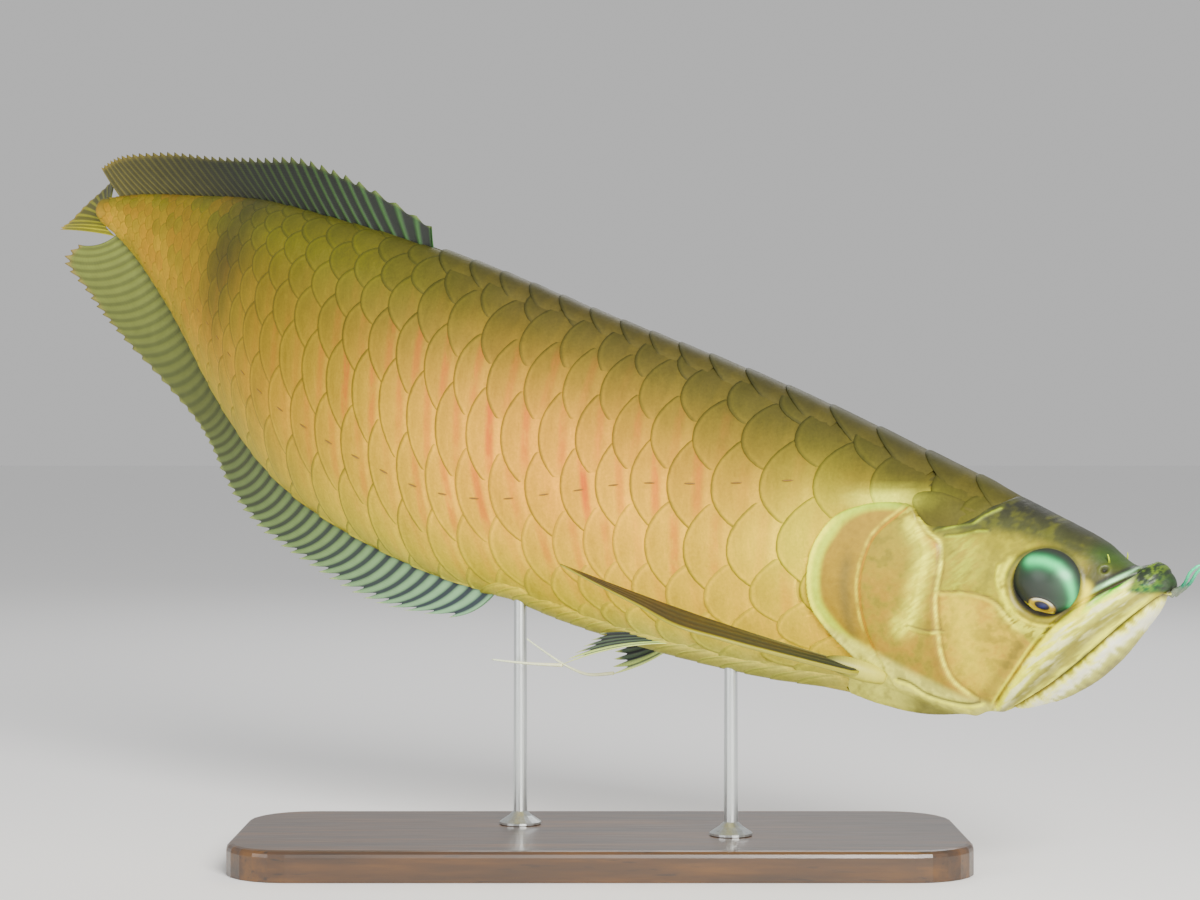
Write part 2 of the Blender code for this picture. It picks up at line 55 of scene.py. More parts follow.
BELLY += [(0.21, 0.0955), (0.25, 0.1045), (0.32, 0.1155), (0.38, 0.121), (0.425, 0.1228), (0.455, 0.1222)]
BELLY += [(0.49, 0.1275), (0.57, 0.1305), (0.68, 0.122), (0.78, 0.096), (0.87, 0.0465), (0.93, 0.0155)]
BELLY += [(0.966, 0.003)]
WIDEST = [(0, 0.053), (0.03, 0.036), (0.10, 0.012), (0.20, 0.0), (0.85, 0.0), (0.966, 0.0065)]
HALF_WIDTH = [(0, 0.003), (0.006, 0.0080), (0.014, 0.0145), (0.03, 0.023), (0.06, 0.0305), (0.10, 0.0355)]
HALF_WIDTH += [(0.20, 0.041), (0.32, 0.045), (0.45, 0.045), (0.57, 0.041), (0.68, 0.034)]
HALF_WIDTH += [(0.78, 0.026), (0.87, 0.017), (0.966, 0.0065)]
BACK_ROUNDNESS, BELLY_KEEL = 0.85, 1.45  # under 1 is a blunt back, over 1 a keeled belly
SNOUT, NAPE, TAIL_ROOT = 0.004, 0.247, 0.966
ROUND_END = 0.007  # how far the flesh reaches on into the tail fin
HEAD_RINGS, TRUNK_RINGS, END_RINGS, HALF_STEPS = 240, 44, 6, 168
PAST_HEAD_RINGS = 8  # rings of the trunk on which the head's skin fades out
HEAD_CROWDING = 1.12  # over 1 crowds the rings towards the snout
RING_SAMPLES, CORNER_STEPS = 361, 4
FAR = 9.0  # more than any distance measured here
SIDES = (("right", 1), ("left", -1))
UNDER_SCALES = 0.8  # how dark the hide is under the scales, as a share of their own colour


def smooth(table, s):
    """The value at s of a smooth curve through the table's points."""
    x, y = np.array(table, float).T
    slope = np.gradient(y, x)
    i = np.clip(np.searchsorted(x, s) - 1, 0, len(x) - 2)
    step = x[i + 1] - x[i]
    t = (s - x[i]) / step
    start = y[i] * (1 + 2 * t) + step * slope[i] * t
    end = y[i + 1] * (3 - 2 * t) - step * slope[i + 1] * (1 - t)
    return start * (1 - t) ** 2 + end * t**2


def axes(s):
    """Unit vectors towards the head, the back and the fish's right."""
    yaw, pitch = np.radians(smooth(YAW, s)), np.radians(smooth(PITCH, s))
    ahead = np.stack([np.cos(yaw) * np.cos(pitch), -np.sin(yaw) * np.cos(pitch), -np.sin(pitch)], -1)
    up = np.stack([np.cos(yaw) * np.sin(pitch), -np.sin(yaw) * np.sin(pitch), np.cos(pitch)], -1)
    return ahead, up, np.cross(ahead, up)


AXIS_SHARES = np.linspace(0, YAW[-1][0], 531)
AXIS_LINE = -np.cumsum(axes((AXIS_SHARES[1:] + AXIS_SHARES[:-1]) / 2)[0] * (AXIS_SHARES[1] * LENGTH), axis=0)
AXIS_LINE = np.vstack([np.zeros(3), AXIS_LINE])
AXIS_LINE += ANCHOR - np.array([np.interp(ANCHOR_SHARE, AXIS_SHARES, AXIS_LINE[:, k]) for k in range(3)])


def place(s, v, w):
    """Where the straight fish's (s, v, w) comes to lie on the bent one, in metres."""
    s, v, w = np.broadcast_arrays(*(np.asarray(x, float) for x in (s, v, w)))
    centre = np.stack([np.interp(s, AXIS_SHARES, AXIS_LINE[:, k]) for k in range(3)], -1)
    _, up, right = axes(s)
    return centre + (up * v[..., None] + right * w[..., None]) * LENGTH


def half_rings(shares, count):
    """(v, w) at even steps round the right half of each ring, from back to belly, and the half girths."""
    turn = np.linspace(math.pi / 2, -math.pi / 2, RING_SAMPLES)
    rise, side = np.sin(turn), np.cos(turn)
    heights, widths, girths = [], [], []
    for s in shares:
        middle = smooth(WIDEST, s)
        reach = np.where(rise > 0, smooth(BACK, s) - middle, smooth(BELLY, s) + middle)
        v = middle + rise * reach
        w = smooth(HALF_WIDTH, s) * np.abs(side) ** np.where(rise > 0, BACK_ROUNDNESS, BELLY_KEEL)
        run = np.concatenate([[0], np.cumsum(np.hypot(np.diff(v), np.diff(w)))])
        even = np.linspace(0, run[-1], count)
        heights.append(np.interp(even, run, v))
        widths.append(np.interp(even, run, w))
        girths.append(run[-1] * LENGTH)
    return np.array(heights), np.array(widths), np.array(girths)


def ease(x):
    """0 below 0, 1 above 1, and smooth between."""
    x = np.clip(x, 0, 1)
    return x * x * (3 - 2 * x)


def bump(x, width):
    """1 at 0, falling away smoothly on both sides."""
    return np.exp(-((x / width) ** 2))


def rounded(line):
    """An open line with its corners rounded off, still through every point."""
    t = np.linspace(0, len(line) - 1, (len(line) - 1) * CORNER_STEPS + 1)
    return np.stack([smooth([(k, p[axis]) for k, p in enumerate(line)], t) for axis in (0, 1)], -1)


def from_line(line, s, v):
    """Metres from a line on the flank, plus behind it and minus ahead of it."""
    line = rounded(line)
    best, side = np.full(s.shape, FAR), np.ones(s.shape)
    for a, b in zip(line, line[1:]):
        d = b - a
        t = np.clip(((s - a[0]) * d[0] + (v - a[1]) * d[1]) / (d @ d), 0, 1)
        gap = np.hypot(s - a[0] - t * d[0], v - a[1] - t * d[1])
        near = gap < best
        best = np.where(near, gap, best)
        side = np.where(near, np.where(d[0] * (v - a[1]) - d[1] * (s - a[0]) < 0, -1, 1), side)
    return best * side * LENGTH


def grain(x, y, seed=0.0, octaves=3):
    """A cloudy pattern, about -1 to 1."""
    flat = zip(np.ravel(x).tolist(), np.ravel(y).tolist())
    values = [noise.fractal(Vector((a, b, seed)), 0.6, 2.1, octaves) for a, b in flat]
    return np.array(values).reshape(np.shape(x))


def rgb(red, green, blue):
    """The paint that looks like this colour, 0 to 255, in the studio's lamps."""
    share = np.array([red, green, blue]) / 255
    light = np.where(share > 0.04045, ((share + 0.055) / 1.055) ** 2.4, share / 12.92) * (0.97, 1.06, 1.0)
    bright = light @ (0.3, 0.6, 0.1)
    return np.clip(1.14 * bright**1.74 + 2.6 * (light - bright) * bright + 0.01, 0.004, 0.93)


def paint(coat, colour, amount):
    """The coat with a colour laid over it."""
    return coat + (rgb(*colour) - coat) * np.clip(amount, 0, 1)[..., None]


def painted(coat, *layers):
    """The coat with colours laid over it in turn, each a colour and how much of it."""
    for colour, amount in layers:
        coat = paint(coat, colour, amount)
    return coat


def plain(shape, colour):
    """One colour all over."""
    return np.zeros((*shape, 3)) + rgb(*colour)


def graded(stops, x):
    """A colour for each x from a few stops."""
    marks = [mark for mark, _ in stops]
    colours = np.array([rgb(*colour) for _, colour in stops])
    return np.stack([np.interp(x, marks, colours[:, k]) for k in range(3)], -1)


SHARP_DEG = 100  # edges that turn by more than this stay sharp

# Lines on the head, drawn from the back down, as (s, v)
SLIT = [(0.0265, 0.0575), (0.034, 0.0478), (0.0455, 0.0345), (0.060, 0.0155), (0.071, -0.008)]
SLIT += [(0.0805, -0.033), (0.0890, -0.053), (0.0935, -0.0625)]
GAPE = [(0.0035, 0.0545), (0.0125, 0.0415), (0.021, 0.028), (0.038, -0.002), (0.058, -0.032)]
GAPE += [(0.081, -0.058), (0.090, -0.0665)]
PREOPERCLE = [(0.1724, 0.0426), (0.1628, 0.0367), (0.1518, 0.0327), (0.1464, 0.0213), (0.1443, 0.0100)]
PREOPERCLE += [(0.1415, -0.0053), (0.1345, -0.0234), (0.1299, -0.0360), (0.1251, -0.0453), (0.1175, -0.0535)]
PREOPERCLE += [(0.1038, -0.0595)]
OPERCLE = [(0.1834, 0.0451), (0.1978, 0.0203), (0.1985, -0.0058), (0.1930, -0.0249), (0.1827, -0.0437)]
OPERCLE += [(0.1690, -0.0601)]
COAT_EDGE = [(0.120, 0.11), (0.123, 0.077), (0.1325, 0.0640), (0.1375, 0.0560), (0.146, 0.0475)]
COAT_EDGE += [(0.158, 0.0425), (0.1655, 0.0405), (0.1745, 0.0440), (0.1827, 0.0483), (0.2000, 0.0440)]
COAT_EDGE += [(0.2150, 0.0365), (0.2310, 0.023), (0.2390, 0.0013), (0.2375, -0.0207), (0.2290, -0.0408)]
COAT_EDGE += [(0.2109, -0.0542), (0.1903, -0.0650), (0.1895, -0.074), (0.196, -0.085), (0.200, -0.12)]
CHEEK_GROOVE = [(0.1402, 0.0032), (0.1258, 0.0087), (0.1127, 0.0109), (0.1024, 0.0101), (0.0935, 0.0049)]
CHEEK_GROOVE += [(0.0860, -0.0001)]
BEHIND_EYE = [(0.1086, 0.0326), (0.1066, 0.0240), (0.1018, 0.0179), (0.0963, 0.0145), (0.0887, 0.0096)]
CANALS = [
    [(0.1251, 0.0658), (0.1319, 0.0583), (0.1368, 0.0511), (0.1457, 0.0466), (0.1580, 0.0385)],
    [(0.1251, 0.0502), (0.1319, 0.0477), (0.1395, 0.0422), (0.1498, 0.0375)],
]
OPERCLE_STREAK = [(0.172, 0.036), (0.1594, 0.0230), (0.1560, 0.0002), (0.1553, -0.0212), (0.1608, -0.0289)]
CHEEK_STRUT = [(0.1320, -0.0225), (0.1436, -0.0262), (0.1545, -0.0272)]
THROAT_FOLD = [(0.1018, -0.0618), (0.1169, -0.0662), (0.1354, -0.0675), (0.1477, -0.0644), (0.1567, -0.0650)]
CROWN = [(0.02, 0.060), (0.05, 0.0560), (0.0709, 0.0540), (0.0805, 0.0550), (0.107, 0.0535), (0.125, 0.0495)]
CROWN += [(0.1368, 0.0445), (0.158, 0.038), (0.18, 0.046), (0.26, 0.050)]
EYE_PLACE = (0.0775, 0.0335)
SOCKET_PLACE, SOCKET = (0.0765, 0.0308), (0.0222, 0.0213)
NOSTRIL = (0.0455, 0.0527)
SCALE_DEPTH = [(0.0, 0.0010), (0.60, 0.0010), (0.80, 0.0007), (0.966, 0.0004)]  # metres, along the length
GILL_PROUD = 0.0012
FLANK = [(0, (206, 196, 150)), (0.07, (216, 196, 142)), (0.20, (226, 196, 130)), (0.45, (222, 192, 112))]
FLANK += [(0.62, (200, 168, 88)), (0.76, (162, 140, 68)), (0.88, (124, 112, 50)), (1, (102, 94, 42))]
REAR_FLANK = [(0, (204, 186, 128)), (0.10, (206, 180, 112)), (0.30, (206, 170, 92)), (0.50, (184, 156, 80))]
REAR_FLANK += [(0.70, (160, 138, 68)), (0.88, (144, 134, 60)), (1, (122, 116, 52))]

# Bands along the jaws: the upper one by share of its width, near the snout and farther down; the lower one
# by metres below the gape. Their brightest bands are painted highlights on the jaws' silvery cream
UPPER_JAW_HIGH = [(0, (80, 122, 58)), (0.07, (96, 170, 70)), (0.15, (206, 226, 118)), (0.26, (250, 248, 196))]
UPPER_JAW_HIGH += [(0.42, (226, 220, 174)), (0.58, (166, 158, 112)), (0.76, (184, 176, 128))]
UPPER_JAW_HIGH += [(0.90, (230, 222, 170)), (1, (126, 112, 76))]
UPPER_JAW_LOW = [(0, (196, 178, 110)), (0.06, (240, 228, 150)), (0.20, (240, 232, 172))]
UPPER_JAW_LOW += [(0.42, (226, 218, 168)), (0.60, (164, 154, 110)), (0.78, (180, 170, 124))]
UPPER_JAW_LOW += [(0.90, (228, 220, 168)), (1, (124, 110, 76))]
LOWER_JAW = [(0, (196, 186, 128)), (0.0014, (244, 240, 190)), (0.0042, (252, 250, 220))]
LOWER_JAW += [(0.0060, (206, 198, 156)), (0.0085, (172, 162, 124)), (0.014, (152, 142, 112))]
LOWER_JAW += [(0.020, (122, 118, 98)), (0.027, (92, 90, 76))]


def flank_colour(s, v):
    """Gold flanks, a peach belly, an olive back and a mottled tail, with painted highlights and painted
    shade.
    """
    share = (v + smooth(BELLY, s)) / (smooth(BACK, s) + smooth(BELLY, s))
    rear = ease((s - 0.50) / 0.18)[..., None]
    coat = graded(FLANK, share) * (1 - rear) + graded(REAR_FLANK, share) * rear
    coat = painted(
        coat,
        # paler towards the front of the keel: partly the belly's own pale colour, partly painted light from
        # below
        ((214, 204, 164), 0.80 * ease((0.15 - share) / 0.12) * ease((0.42 - s) / 0.08)),
        ((244, 172, 62), 0.48 * bump(s - 0.455, 0.125) * bump(share - 0.44, 0.26)),
        # a paler patch on the shoulder: painted highlight
        ((236, 220, 150), 0.50 * bump(s - 0.245, 0.035) * bump(share - 0.55, 0.20)),
        ((196, 160, 84), 0.35 * ease((s - 0.80) / 0.08) * bump(share - 0.45, 0.5)),
        # a darker band in the bend before the tail: painted shade
        ((96, 92, 42), 0.62 * bump(s - 0.785, 0.026) * ease((share - 0.10) / 0.5)),
    )
    nape = ease((0.205 - s) / 0.05) * ease((v - 0.030) / 0.012) * (1 - 0.65 * ease((share - 0.84) / 0.12))
    coat = paint(coat, (132, 122, 64), 0.85 * nape)
    # a bright streak just above the gill cover's top edge: painted highlight
    shoulder_highlight = bump(s - 0.201, 0.021) * bump(v - 0.0460 + 0.30 * (s - 0.20), 0.0066)
    return paint(coat, (255, 250, 196), 0.95 * shoulder_highlight)


class Head:
    """Everything that is shaped and coloured on one side of the head, for arrays of (s, v)."""

    def __init__(self, s, v):
        self.s, self.v = s, v
        self.slit, self.gape, self.preopercle, self.opercle, self.coat = (
            from_line(line, s, v) for line in (SLIT, GAPE, PREOPERCLE, OPERCLE, COAT_EDGE)
        )
        self.groove, self.behind_eye, self.streak = (
            from_line(line, s, v) for line in (CHEEK_GROOVE, BEHIND_EYE, OPERCLE_STREAK)
        )
        self.strut, self.throat_fold = (from_line(line, s, v) for line in (CHEEK_STRUT, THROAT_FOLD))
        self.canals = [from_line(line, s, v) for line in CANALS]
        self.socket = np.hypot((s - SOCKET_PLACE[0]) / SOCKET[0], (v - SOCKET_PLACE[1]) / SOCKET[1])
        self.nostril = np.hypot(s - NOSTRIL[0], v - NOSTRIL[1]) * LENGTH
        self.jawward = ease((0.105 - s) / 0.01)
        self.above_chin, self.above_throat = ease((v + 0.064) / 0.006), ease((v + 0.070) / 0.006)
        self.maxilla = ease(self.gape / 0.0009) * ease(-self.slit / 0.0009) * self.jawward
        self.maxilla *= ease((v + 0.068) / 0.006)
        self.maxilla *= ease((s - 0.010) / 0.006)
        self.dentary = ease(-self.gape / 0.0009) * self.jawward
        self.gill = ease(self.preopercle / 0.002) * ease((0.051 - v) / 0.004) * ease((v + 0.078) / 0.008)
        self.gill *= ease((s - 0.098) / 0.01)
        down_jaw, over_jaw = s * 0.58 - v * 0.81, s * 0.81 + v * 0.58
        self.wrinkles = grain(down_jaw * 48, over_jaw * 300, 3.1)
        self.ribs = grain(down_jaw * 300, over_jaw * 75, 5.3, 4)
        self.clouds = grain(s * 90, v * 90, 7.7)
        self.fine = grain(s * 340, v * 340, 1.3)

    def height(self):
        """Metres above the plain outline."""
        s, v = self.s, self.v
        ridge = bump(self.preopercle, 0.0007) * ease((0.046 - v) / 0.006) * ease((v + 0.062) / 0.01)
        h = GILL_PROUD * self.gill + 0.00045 * ridge
        h += 0.0006 * ease(-self.opercle / 0.0009) * self.gill
        h += 0.0004 * bump(self.coat + 0.0012, 0.0009) * self.gill
        h += (0.0009 + 0.00022 * self.wrinkles) * self.maxilla
        h += 0.0007 * bump(self.gape + 0.0024, 0.0018) * self.dentary
        h += 0.00016 * self.ribs * self.dentary * bump(self.gape + 0.005, 0.003)
        h -= 0.0017 * bump(self.slit, 0.00075) * self.jawward * ease((0.060 - v) / 0.002) * self.above_chin
        h -= 0.0014 * bump(self.gape, 0.00070) * self.jawward * self.above_throat
        h += (0.0006 + 0.0003 * self.clouds) * bump(s - 0.017, 0.009) * bump(v - 0.056, 0.008)
        h -= 0.0005 * bump(self.groove, 0.0007)
        h += 0.0004 * bump(self.groove - 0.0016, 0.0014) + 0.0005 * bump(self.behind_eye, 0.0009)
        h += sum(0.0004 * bump(canal, 0.0006) for canal in self.canals)
        h += 0.0004 * bump(self.strut, 0.0007) + 0.0004 * bump(self.streak, 0.0012) * self.gill
        h -= 0.0006 * bump(self.throat_fold, 0.0008)
        h -= 0.0036 * ease((1.02 - self.socket) / 0.22)
        h += 0.0005 * bump(self.socket - 1.10, 0.06)
        h += 0.0003 * bump(self.socket - 1.24, 0.05) * ease((0.03 - v) / 0.01)
        h += 0.0003 * bump(self.socket - 1.36, 0.06) * ease((0.02 - v) / 0.01)
        h -= 0.0016 * bump(self.nostril, 0.0009)
        h += 0.0003 * bump(self.nostril - 0.0018, 0.0006)
        return h + 0.00007 * self.fine

    def colour(self):
        """Paint, with the share of silver in it as a fourth number."""
        s, v = self.s, self.v
        crown = from_line(CROWN, s, v)
        clouds, streaky = ease(0.5 + self.clouds), ease(0.5 + 1.3 * self.wrinkles)
        # where the painted highlights along ridges and edges show, in patches
        highlight_patches = 0.30 + 0.70 * ease(0.55 + 1.5 * self.clouds)
        below = ease(self.groove / 0.003)  # the plate under the groove of the cheek
        coat = plain(s.shape, (184, 172, 116))
        coat = painted(
            coat,
            ((208, 182, 124), below),
            ((198, 150, 104), 0.42 * ease((self.clouds + 0.05) / 0.5) * (0.45 + 0.55 * below)),
            ((158, 144, 88), 0.45 * ease((-self.clouds - 0.05) / 0.4)),
            ((226, 206, 146), 0.55 * below * bump(self.preopercle + 0.012, 0.007)),
            ((214, 212, 150), 0.45 * (1 - below) * bump(self.preopercle + 0.010, 0.006) * streaky),
            ((128, 108, 66), 0.45 * below * bump(self.slit - 0.0045, 0.003) * ease((0.0 - v) / 0.01)),
        )
        # gill cover
        gill = plain(s.shape, (186, 166, 106))
        gill = painted(
            gill,
            ((194, 148, 98), 0.55 * clouds * ease((0.030 - v) / 0.05)),
            ((160, 144, 84), 0.45 * ease(-self.clouds / 0.4) + 0.3 * ease((v - 0.01) / 0.03)),
            ((172, 142, 90), 0.45 * bump(self.preopercle - 0.0035, 0.0022) * ease((0.02 - v) / 0.02)),
            ((232, 160, 110), 0.6 * bump(self.preopercle - 0.001, 0.003) * bump(v - 0.029, 0.006)),
        )
        shine = bump(self.streak, 0.0046) * (0.55 + 0.45 * streaky)
        front_shine = bump(self.preopercle - 0.0045, 0.004) * streaky * ease((v + 0.005) / 0.02)
        shine = np.maximum(shine, 0.6 * front_shine)
        gill = paint(gill, (255, 253, 196), 0.95 * shine)
        skirt = ease(self.opercle / 0.0007)
        gill = paint(gill, (188, 158, 108), skirt)
        # painted shade in the hollow behind the gill cover's edge
        hollow = skirt * bump(self.opercle - 0.0075, 0.0030) * ease((0.012 - v) / 0.02)
        gill = paint(gill, (150, 132, 96), 0.6 * hollow)
        rim = skirt * ease((self.coat + 0.0088 - 0.0040 * ease((v - 0.008) / 0.028)) / 0.0036)
        gill = painted(
            gill,
            ((214, 216, 104), rim),
            ((252, 250, 140), rim * ease((self.coat + 0.0042) / 0.003) * ease((0.030 - v) / 0.02)),
            ((176, 196, 92), 0.4 * rim * ease((v - 0.020) / 0.016)),
            ((222, 206, 150), 0.7 * skirt * ease((-0.045 - v) / 0.012)),
            ((224, 170, 96), 0.75 * bump(self.opercle + 0.0003, 0.0005)),
            # a bright line just behind the gill cover's edge: painted highlight
            ((248, 226, 150), 0.6 * highlight_patches * bump(self.opercle - 0.0014, 0.0007) * ease((v + 0.05) / 0.02)),
        )
        coat = coat + (gill - coat) * self.gill[..., None]
        silver = 0.20 * self.gill * shine
        # ridges and creases of the cheek and throat: painted shade in the creases and beside the ridges,
        # painted highlights along them
        throat = ease((-0.0570 - v + 0.10 * (s - 0.10)) / 0.008) * ease((s - 0.085) / 0.01)
        coat = painted(
            coat,
            ((224, 214, 170), throat),
            ((176, 164, 124), 0.40 * throat * ease(-self.clouds / 0.4)),
            # darker towards the bottom of the throat: painted shade underneath
            ((140, 130, 96), 0.8 * throat * ease((-0.072 - v) / 0.008) * ease((0.165 - s) / 0.03)),
            ((244, 238, 190), 0.5 * throat * ease((s - 0.15) / 0.03) * streaky),
            ((104, 92, 52), 0.85 * bump(self.throat_fold, 0.0006)),
            ((246, 240, 180), 0.7 * bump(self.throat_fold + 0.0014, 0.0007)),
        )
        ridge = ease((0.05 - v) / 0.006) * ease((v + 0.066) / 0.008)
        coat = painted(
            coat,
            ((140, 112, 66), 0.6 * bump(self.preopercle + 0.0014, 0.0006) * ridge * ease((0.03 - v) / 0.01)),
            ((150, 122, 74), 0.5 * bump(self.preopercle - 0.0014, 0.0006) * ridge),
            ((250, 246, 190), (0.55 + 0.40 * streaky) * highlight_patches * bump(self.preopercle, 0.00060) * ridge),
            ((136, 104, 62), 0.75 * bump(self.groove, 0.00045)),
            ((222, 204, 138), 0.5 * bump(self.groove - 0.0014, 0.0008)),
            ((248, 238, 170), 0.85 * highlight_patches * bump(self.behind_eye, 0.0008)),
            ((244, 236, 180), 0.75 * highlight_patches * bump(self.strut, 0.0006)),
            ((120, 92, 54), 0.6 * bump(self.strut - 0.0011, 0.0005)),
        )
        # crown and snout
        olive = ease(0.5 + crown / 0.0075)
        coat = painted(
            coat,
            ((92, 98, 48), 0.94 * olive),
            ((54, 56, 22), olive * ease((crown - 0.001) / 0.012) * 0.90),
            ((146, 144, 76), 0.34 * olive * ease(self.clouds / 0.5) * ease((0.020 - crown) / 0.012)),
        )
        # painted highlight along each canal's ridge, painted shade beside it
        for canal in self.canals:
            coat = paint(coat, (200, 204, 120), 0.60 * highlight_patches * bump(canal, 0.0005))
            coat = paint(coat, (92, 98, 44), 0.6 * bump(canal - 0.0012, 0.0006))
        snout = ease((0.066 - s) / 0.016) * ease(self.slit / 0.0006)
        coat = painted(
            coat,
            ((66, 82, 34), 0.85 * snout * ease((v - 0.034) / 0.010)),
            ((86, 122, 52), 0.6 * snout * bump(v - 0.060, 0.006)),
            ((78, 104, 54), 0.85 * snout * ease((0.036 - s) / 0.008)),
        )
        # a pale strip over the slit near the snout: painted glint, partly silver
        slit_glint = bump(self.slit - 0.0021, 0.0008) * ease((0.050 - s) / 0.006) * ease((s - 0.026) / 0.004)
        slit_glint = slit_glint * (0.45 + 0.55 * streaky)
        shadow = bump(self.slit - 0.0038, 0.0012) * ease((0.05 - s) / 0.005)
        coat = paint(coat, (26, 42, 22), 0.9 * shadow * ease((s - 0.02) / 0.01))
        coat = paint(coat, (208, 232, 206), slit_glint)
        # jaws
        across = np.clip(-self.slit / np.maximum(-self.slit + np.abs(self.gape), 1e-6), 0, 1)
        across = across + 0.05 * self.wrinkles
        upper = ease((v - 0.006) / 0.016)
        green = graded(UPPER_JAW_HIGH, across)
        cream = graded(UPPER_JAW_LOW, across)
        band = green * upper[..., None] + cream * (1 - upper)[..., None]
        coat = coat + (band - coat) * self.maxilla[..., None]
        # near-white patches along the middle of the upper jaw: painted highlight, partly silver
        bright = self.maxilla * ease((self.wrinkles + 0.10) / 0.50) * bump(across - 0.36, 0.26)
        coat = paint(coat, (255, 253, 222), 0.85 * bright)
        dull = self.maxilla * ease((-self.wrinkles - 0.05) / 0.4) * ease((across - 0.2) / 0.1)
        coat = paint(coat, (172, 158, 110), 0.5 * dull)
        under = -self.gape + 0.0015 * self.ribs + 0.0008 * self.clouds
        band = graded(LOWER_JAW, under)
        coat = coat + (band - coat) * self.dentary[..., None]
        # near-white patches below the gape: painted highlight, partly silver
        patch = bump(under - 0.0032, 0.0016) * ease((self.wrinkles + 0.50) / 0.5) * self.dentary
        coat = paint(coat, (255, 254, 236), 0.9 * patch)
        silver = silver + 0.30 * bright + 0.30 * patch + 0.4 * slit_glint
        lip = ease((0.029 - s) / 0.005) * ease((v - 0.0470 + 0.30 * (s - 0.012)) / 0.004)
        coat = painted(
            coat,
            ((62, 96, 40), lip),
            (
                (48, 150, 84),
                0.80 * lip * bump(v - 0.0515 + 0.5 * (s - 0.016), 0.0034) * ease(0.6 + self.clouds),
            ),
            ((150, 166, 104), 0.55 * lip * ease((self.fine + 0.05) / 0.25) * ease((s - 0.008) / 0.01)),
            ((58, 70, 44), 0.6 * lip * ease((-self.fine - 0.10) / 0.25)),
        )
        high = ease((v + 0.010) / 0.018)
        # the slit's upper part painted near-black: painted shade in the groove
        coat = paint(coat, (18, 34, 16), 0.95 * bump(self.slit, 0.0008) * self.jawward * high)
        low_slit = bump(self.slit, 0.0005) * self.jawward * self.above_chin * (1 - high)
        coat = paint(coat, (150, 122, 72), 0.75 * low_slit)
        lit = bump(self.slit - 0.0010, 0.0006) * self.jawward * (1 - high) * self.above_chin
        coat = paint(coat, (250, 244, 180), 0.6 * lit)
        # the gape painted dark: painted shade in the groove
        coat = paint(coat, (84, 70, 44), 0.85 * bump(self.gape, 0.0005) * self.jawward * self.above_throat)
        # eye rim
        rim = bump(self.socket - 1.10, 0.10)
        low = ease((0.030 - v) / 0.010)
        coat = painted(
            coat,
            ((96, 102, 50), 0.85 * rim * (1 - low)),
            ((150, 134, 76), 0.55 * rim * low),
            ((240, 226, 120), 0.8 * bump(self.socket - 1.22, 0.05) * low * ease(0.7 + self.clouds)),
        )
        hind = bump(self.socket - 1.26, 0.10) * ease((s - EYE_PLACE[0] - 0.006) / 0.010)
        hind = hind * ease((0.045 - v) / 0.01) * ease(0.75 + 1.2 * self.clouds)
        coat = paint(coat, (244, 238, 164), 0.70 * hind)
        fore = bump(self.socket - 1.24, 0.14) * ease((EYE_PLACE[0] - s - 0.008) / 0.006)
        fore = fore * ease((v - 0.012) / 0.01)
        coat = painted(
            coat,
            ((240, 222, 104), 0.85 * fore * ease((0.046 - v) / 0.008)),
            # near-black at the inside of the socket and in the nostril: painted shade in the gap round the
            # eyeball and in the hole
            ((40, 40, 22), ease((1.05 - self.socket) / 0.14)),
            ((14, 16, 8), bump(self.nostril, 0.0011)),
            ((150, 158, 84), 0.25 * bump(self.nostril - 0.0020, 0.0005)),
        )
        creases = bump(self.socket - 1.42, 0.20) * ease((0.010 - v) / 0.008)
        creases = creases * ease((self.wrinkles + 0.1) / 0.3)
        coat = paint(coat, (246, 240, 186), 0.65 * creases * (1 - self.maxilla))
        coat = coat * (1 + 0.13 * self.fine + 0.06 * self.clouds)[..., None]
        return np.clip(coat, 0.004, 0.95), np.clip(silver + 0.25 * creases, 0, 0.8)


def ring_quads(index):
    """Quads between rings of points, given each ring's point numbers."""
    after = np.roll(index, -1, 1)
    return np.stack([index[:-1], after[:-1], after[1:], index[1:]], -1).reshape(-1, 4)


def with_share(colours, share=1.0):
    """Paints as rows of four numbers; the fourth is a share that a finish may read."""
    return np.concatenate([colours, np.full((*colours.shape[:-1], 1), share)], -1).reshape(-1, 4)


def mesh_piece(name, points, faces, colours=None, maps=None):
    """An object from points and faces, with paint on its points and maps on its corners."""
    mesh = bpy.data.meshes.new(name)
    mesh.from_pydata(np.asarray(points).reshape(-1, 3).tolist(), [], faces)
    mesh.shade_smooth()
    mesh.set_sharp_from_angle(angle=math.radians(SHARP_DEG))
    if colours is not None:
        layer = mesh.color_attributes.new("tint", "FLOAT_COLOR", "POINT")
        layer.data.foreach_set("color", np.asarray(colours, np.float32).ravel())
    corners = np.empty(len(mesh.loops), np.int32)
    mesh.loops.foreach_get("vertex_index", corners)
    for key, values in (maps or {}).items():
        layer = mesh.uv_layers.new(name=key)
        values = np.asarray(values, np.float32).reshape(-1, 2)
        layer.data.foreach_set("uv", (values if len(values) == len(corners) else values[corners]).ravel())
    obj = bpy.data.objects.new(name, mesh)
    bpy.context.scene.collection.objects.link(obj)
    return obj


class Wire:
    """An output of a finish's node tree; adding, taking away or multiplying makes a Math node."""

    def __init__(self, finish, socket):
        self.finish, self.socket = finish, socket

    def math(self, operation, *values):
        return self.finish.node("Math", {"operation": operation}, dict(enumerate(values)))

    def __add__(self, other):
        return self.math("ADD", self, other)

    def __mul__(self, other):
        return self.math("MULTIPLY", self, other)

    def __sub__(self, other):
        return self.math("SUBTRACT", self, other)

    def __rsub__(self, other):
        return self.math("SUBTRACT", other, self)

    __radd__, __rmul__ = __add__, __mul__


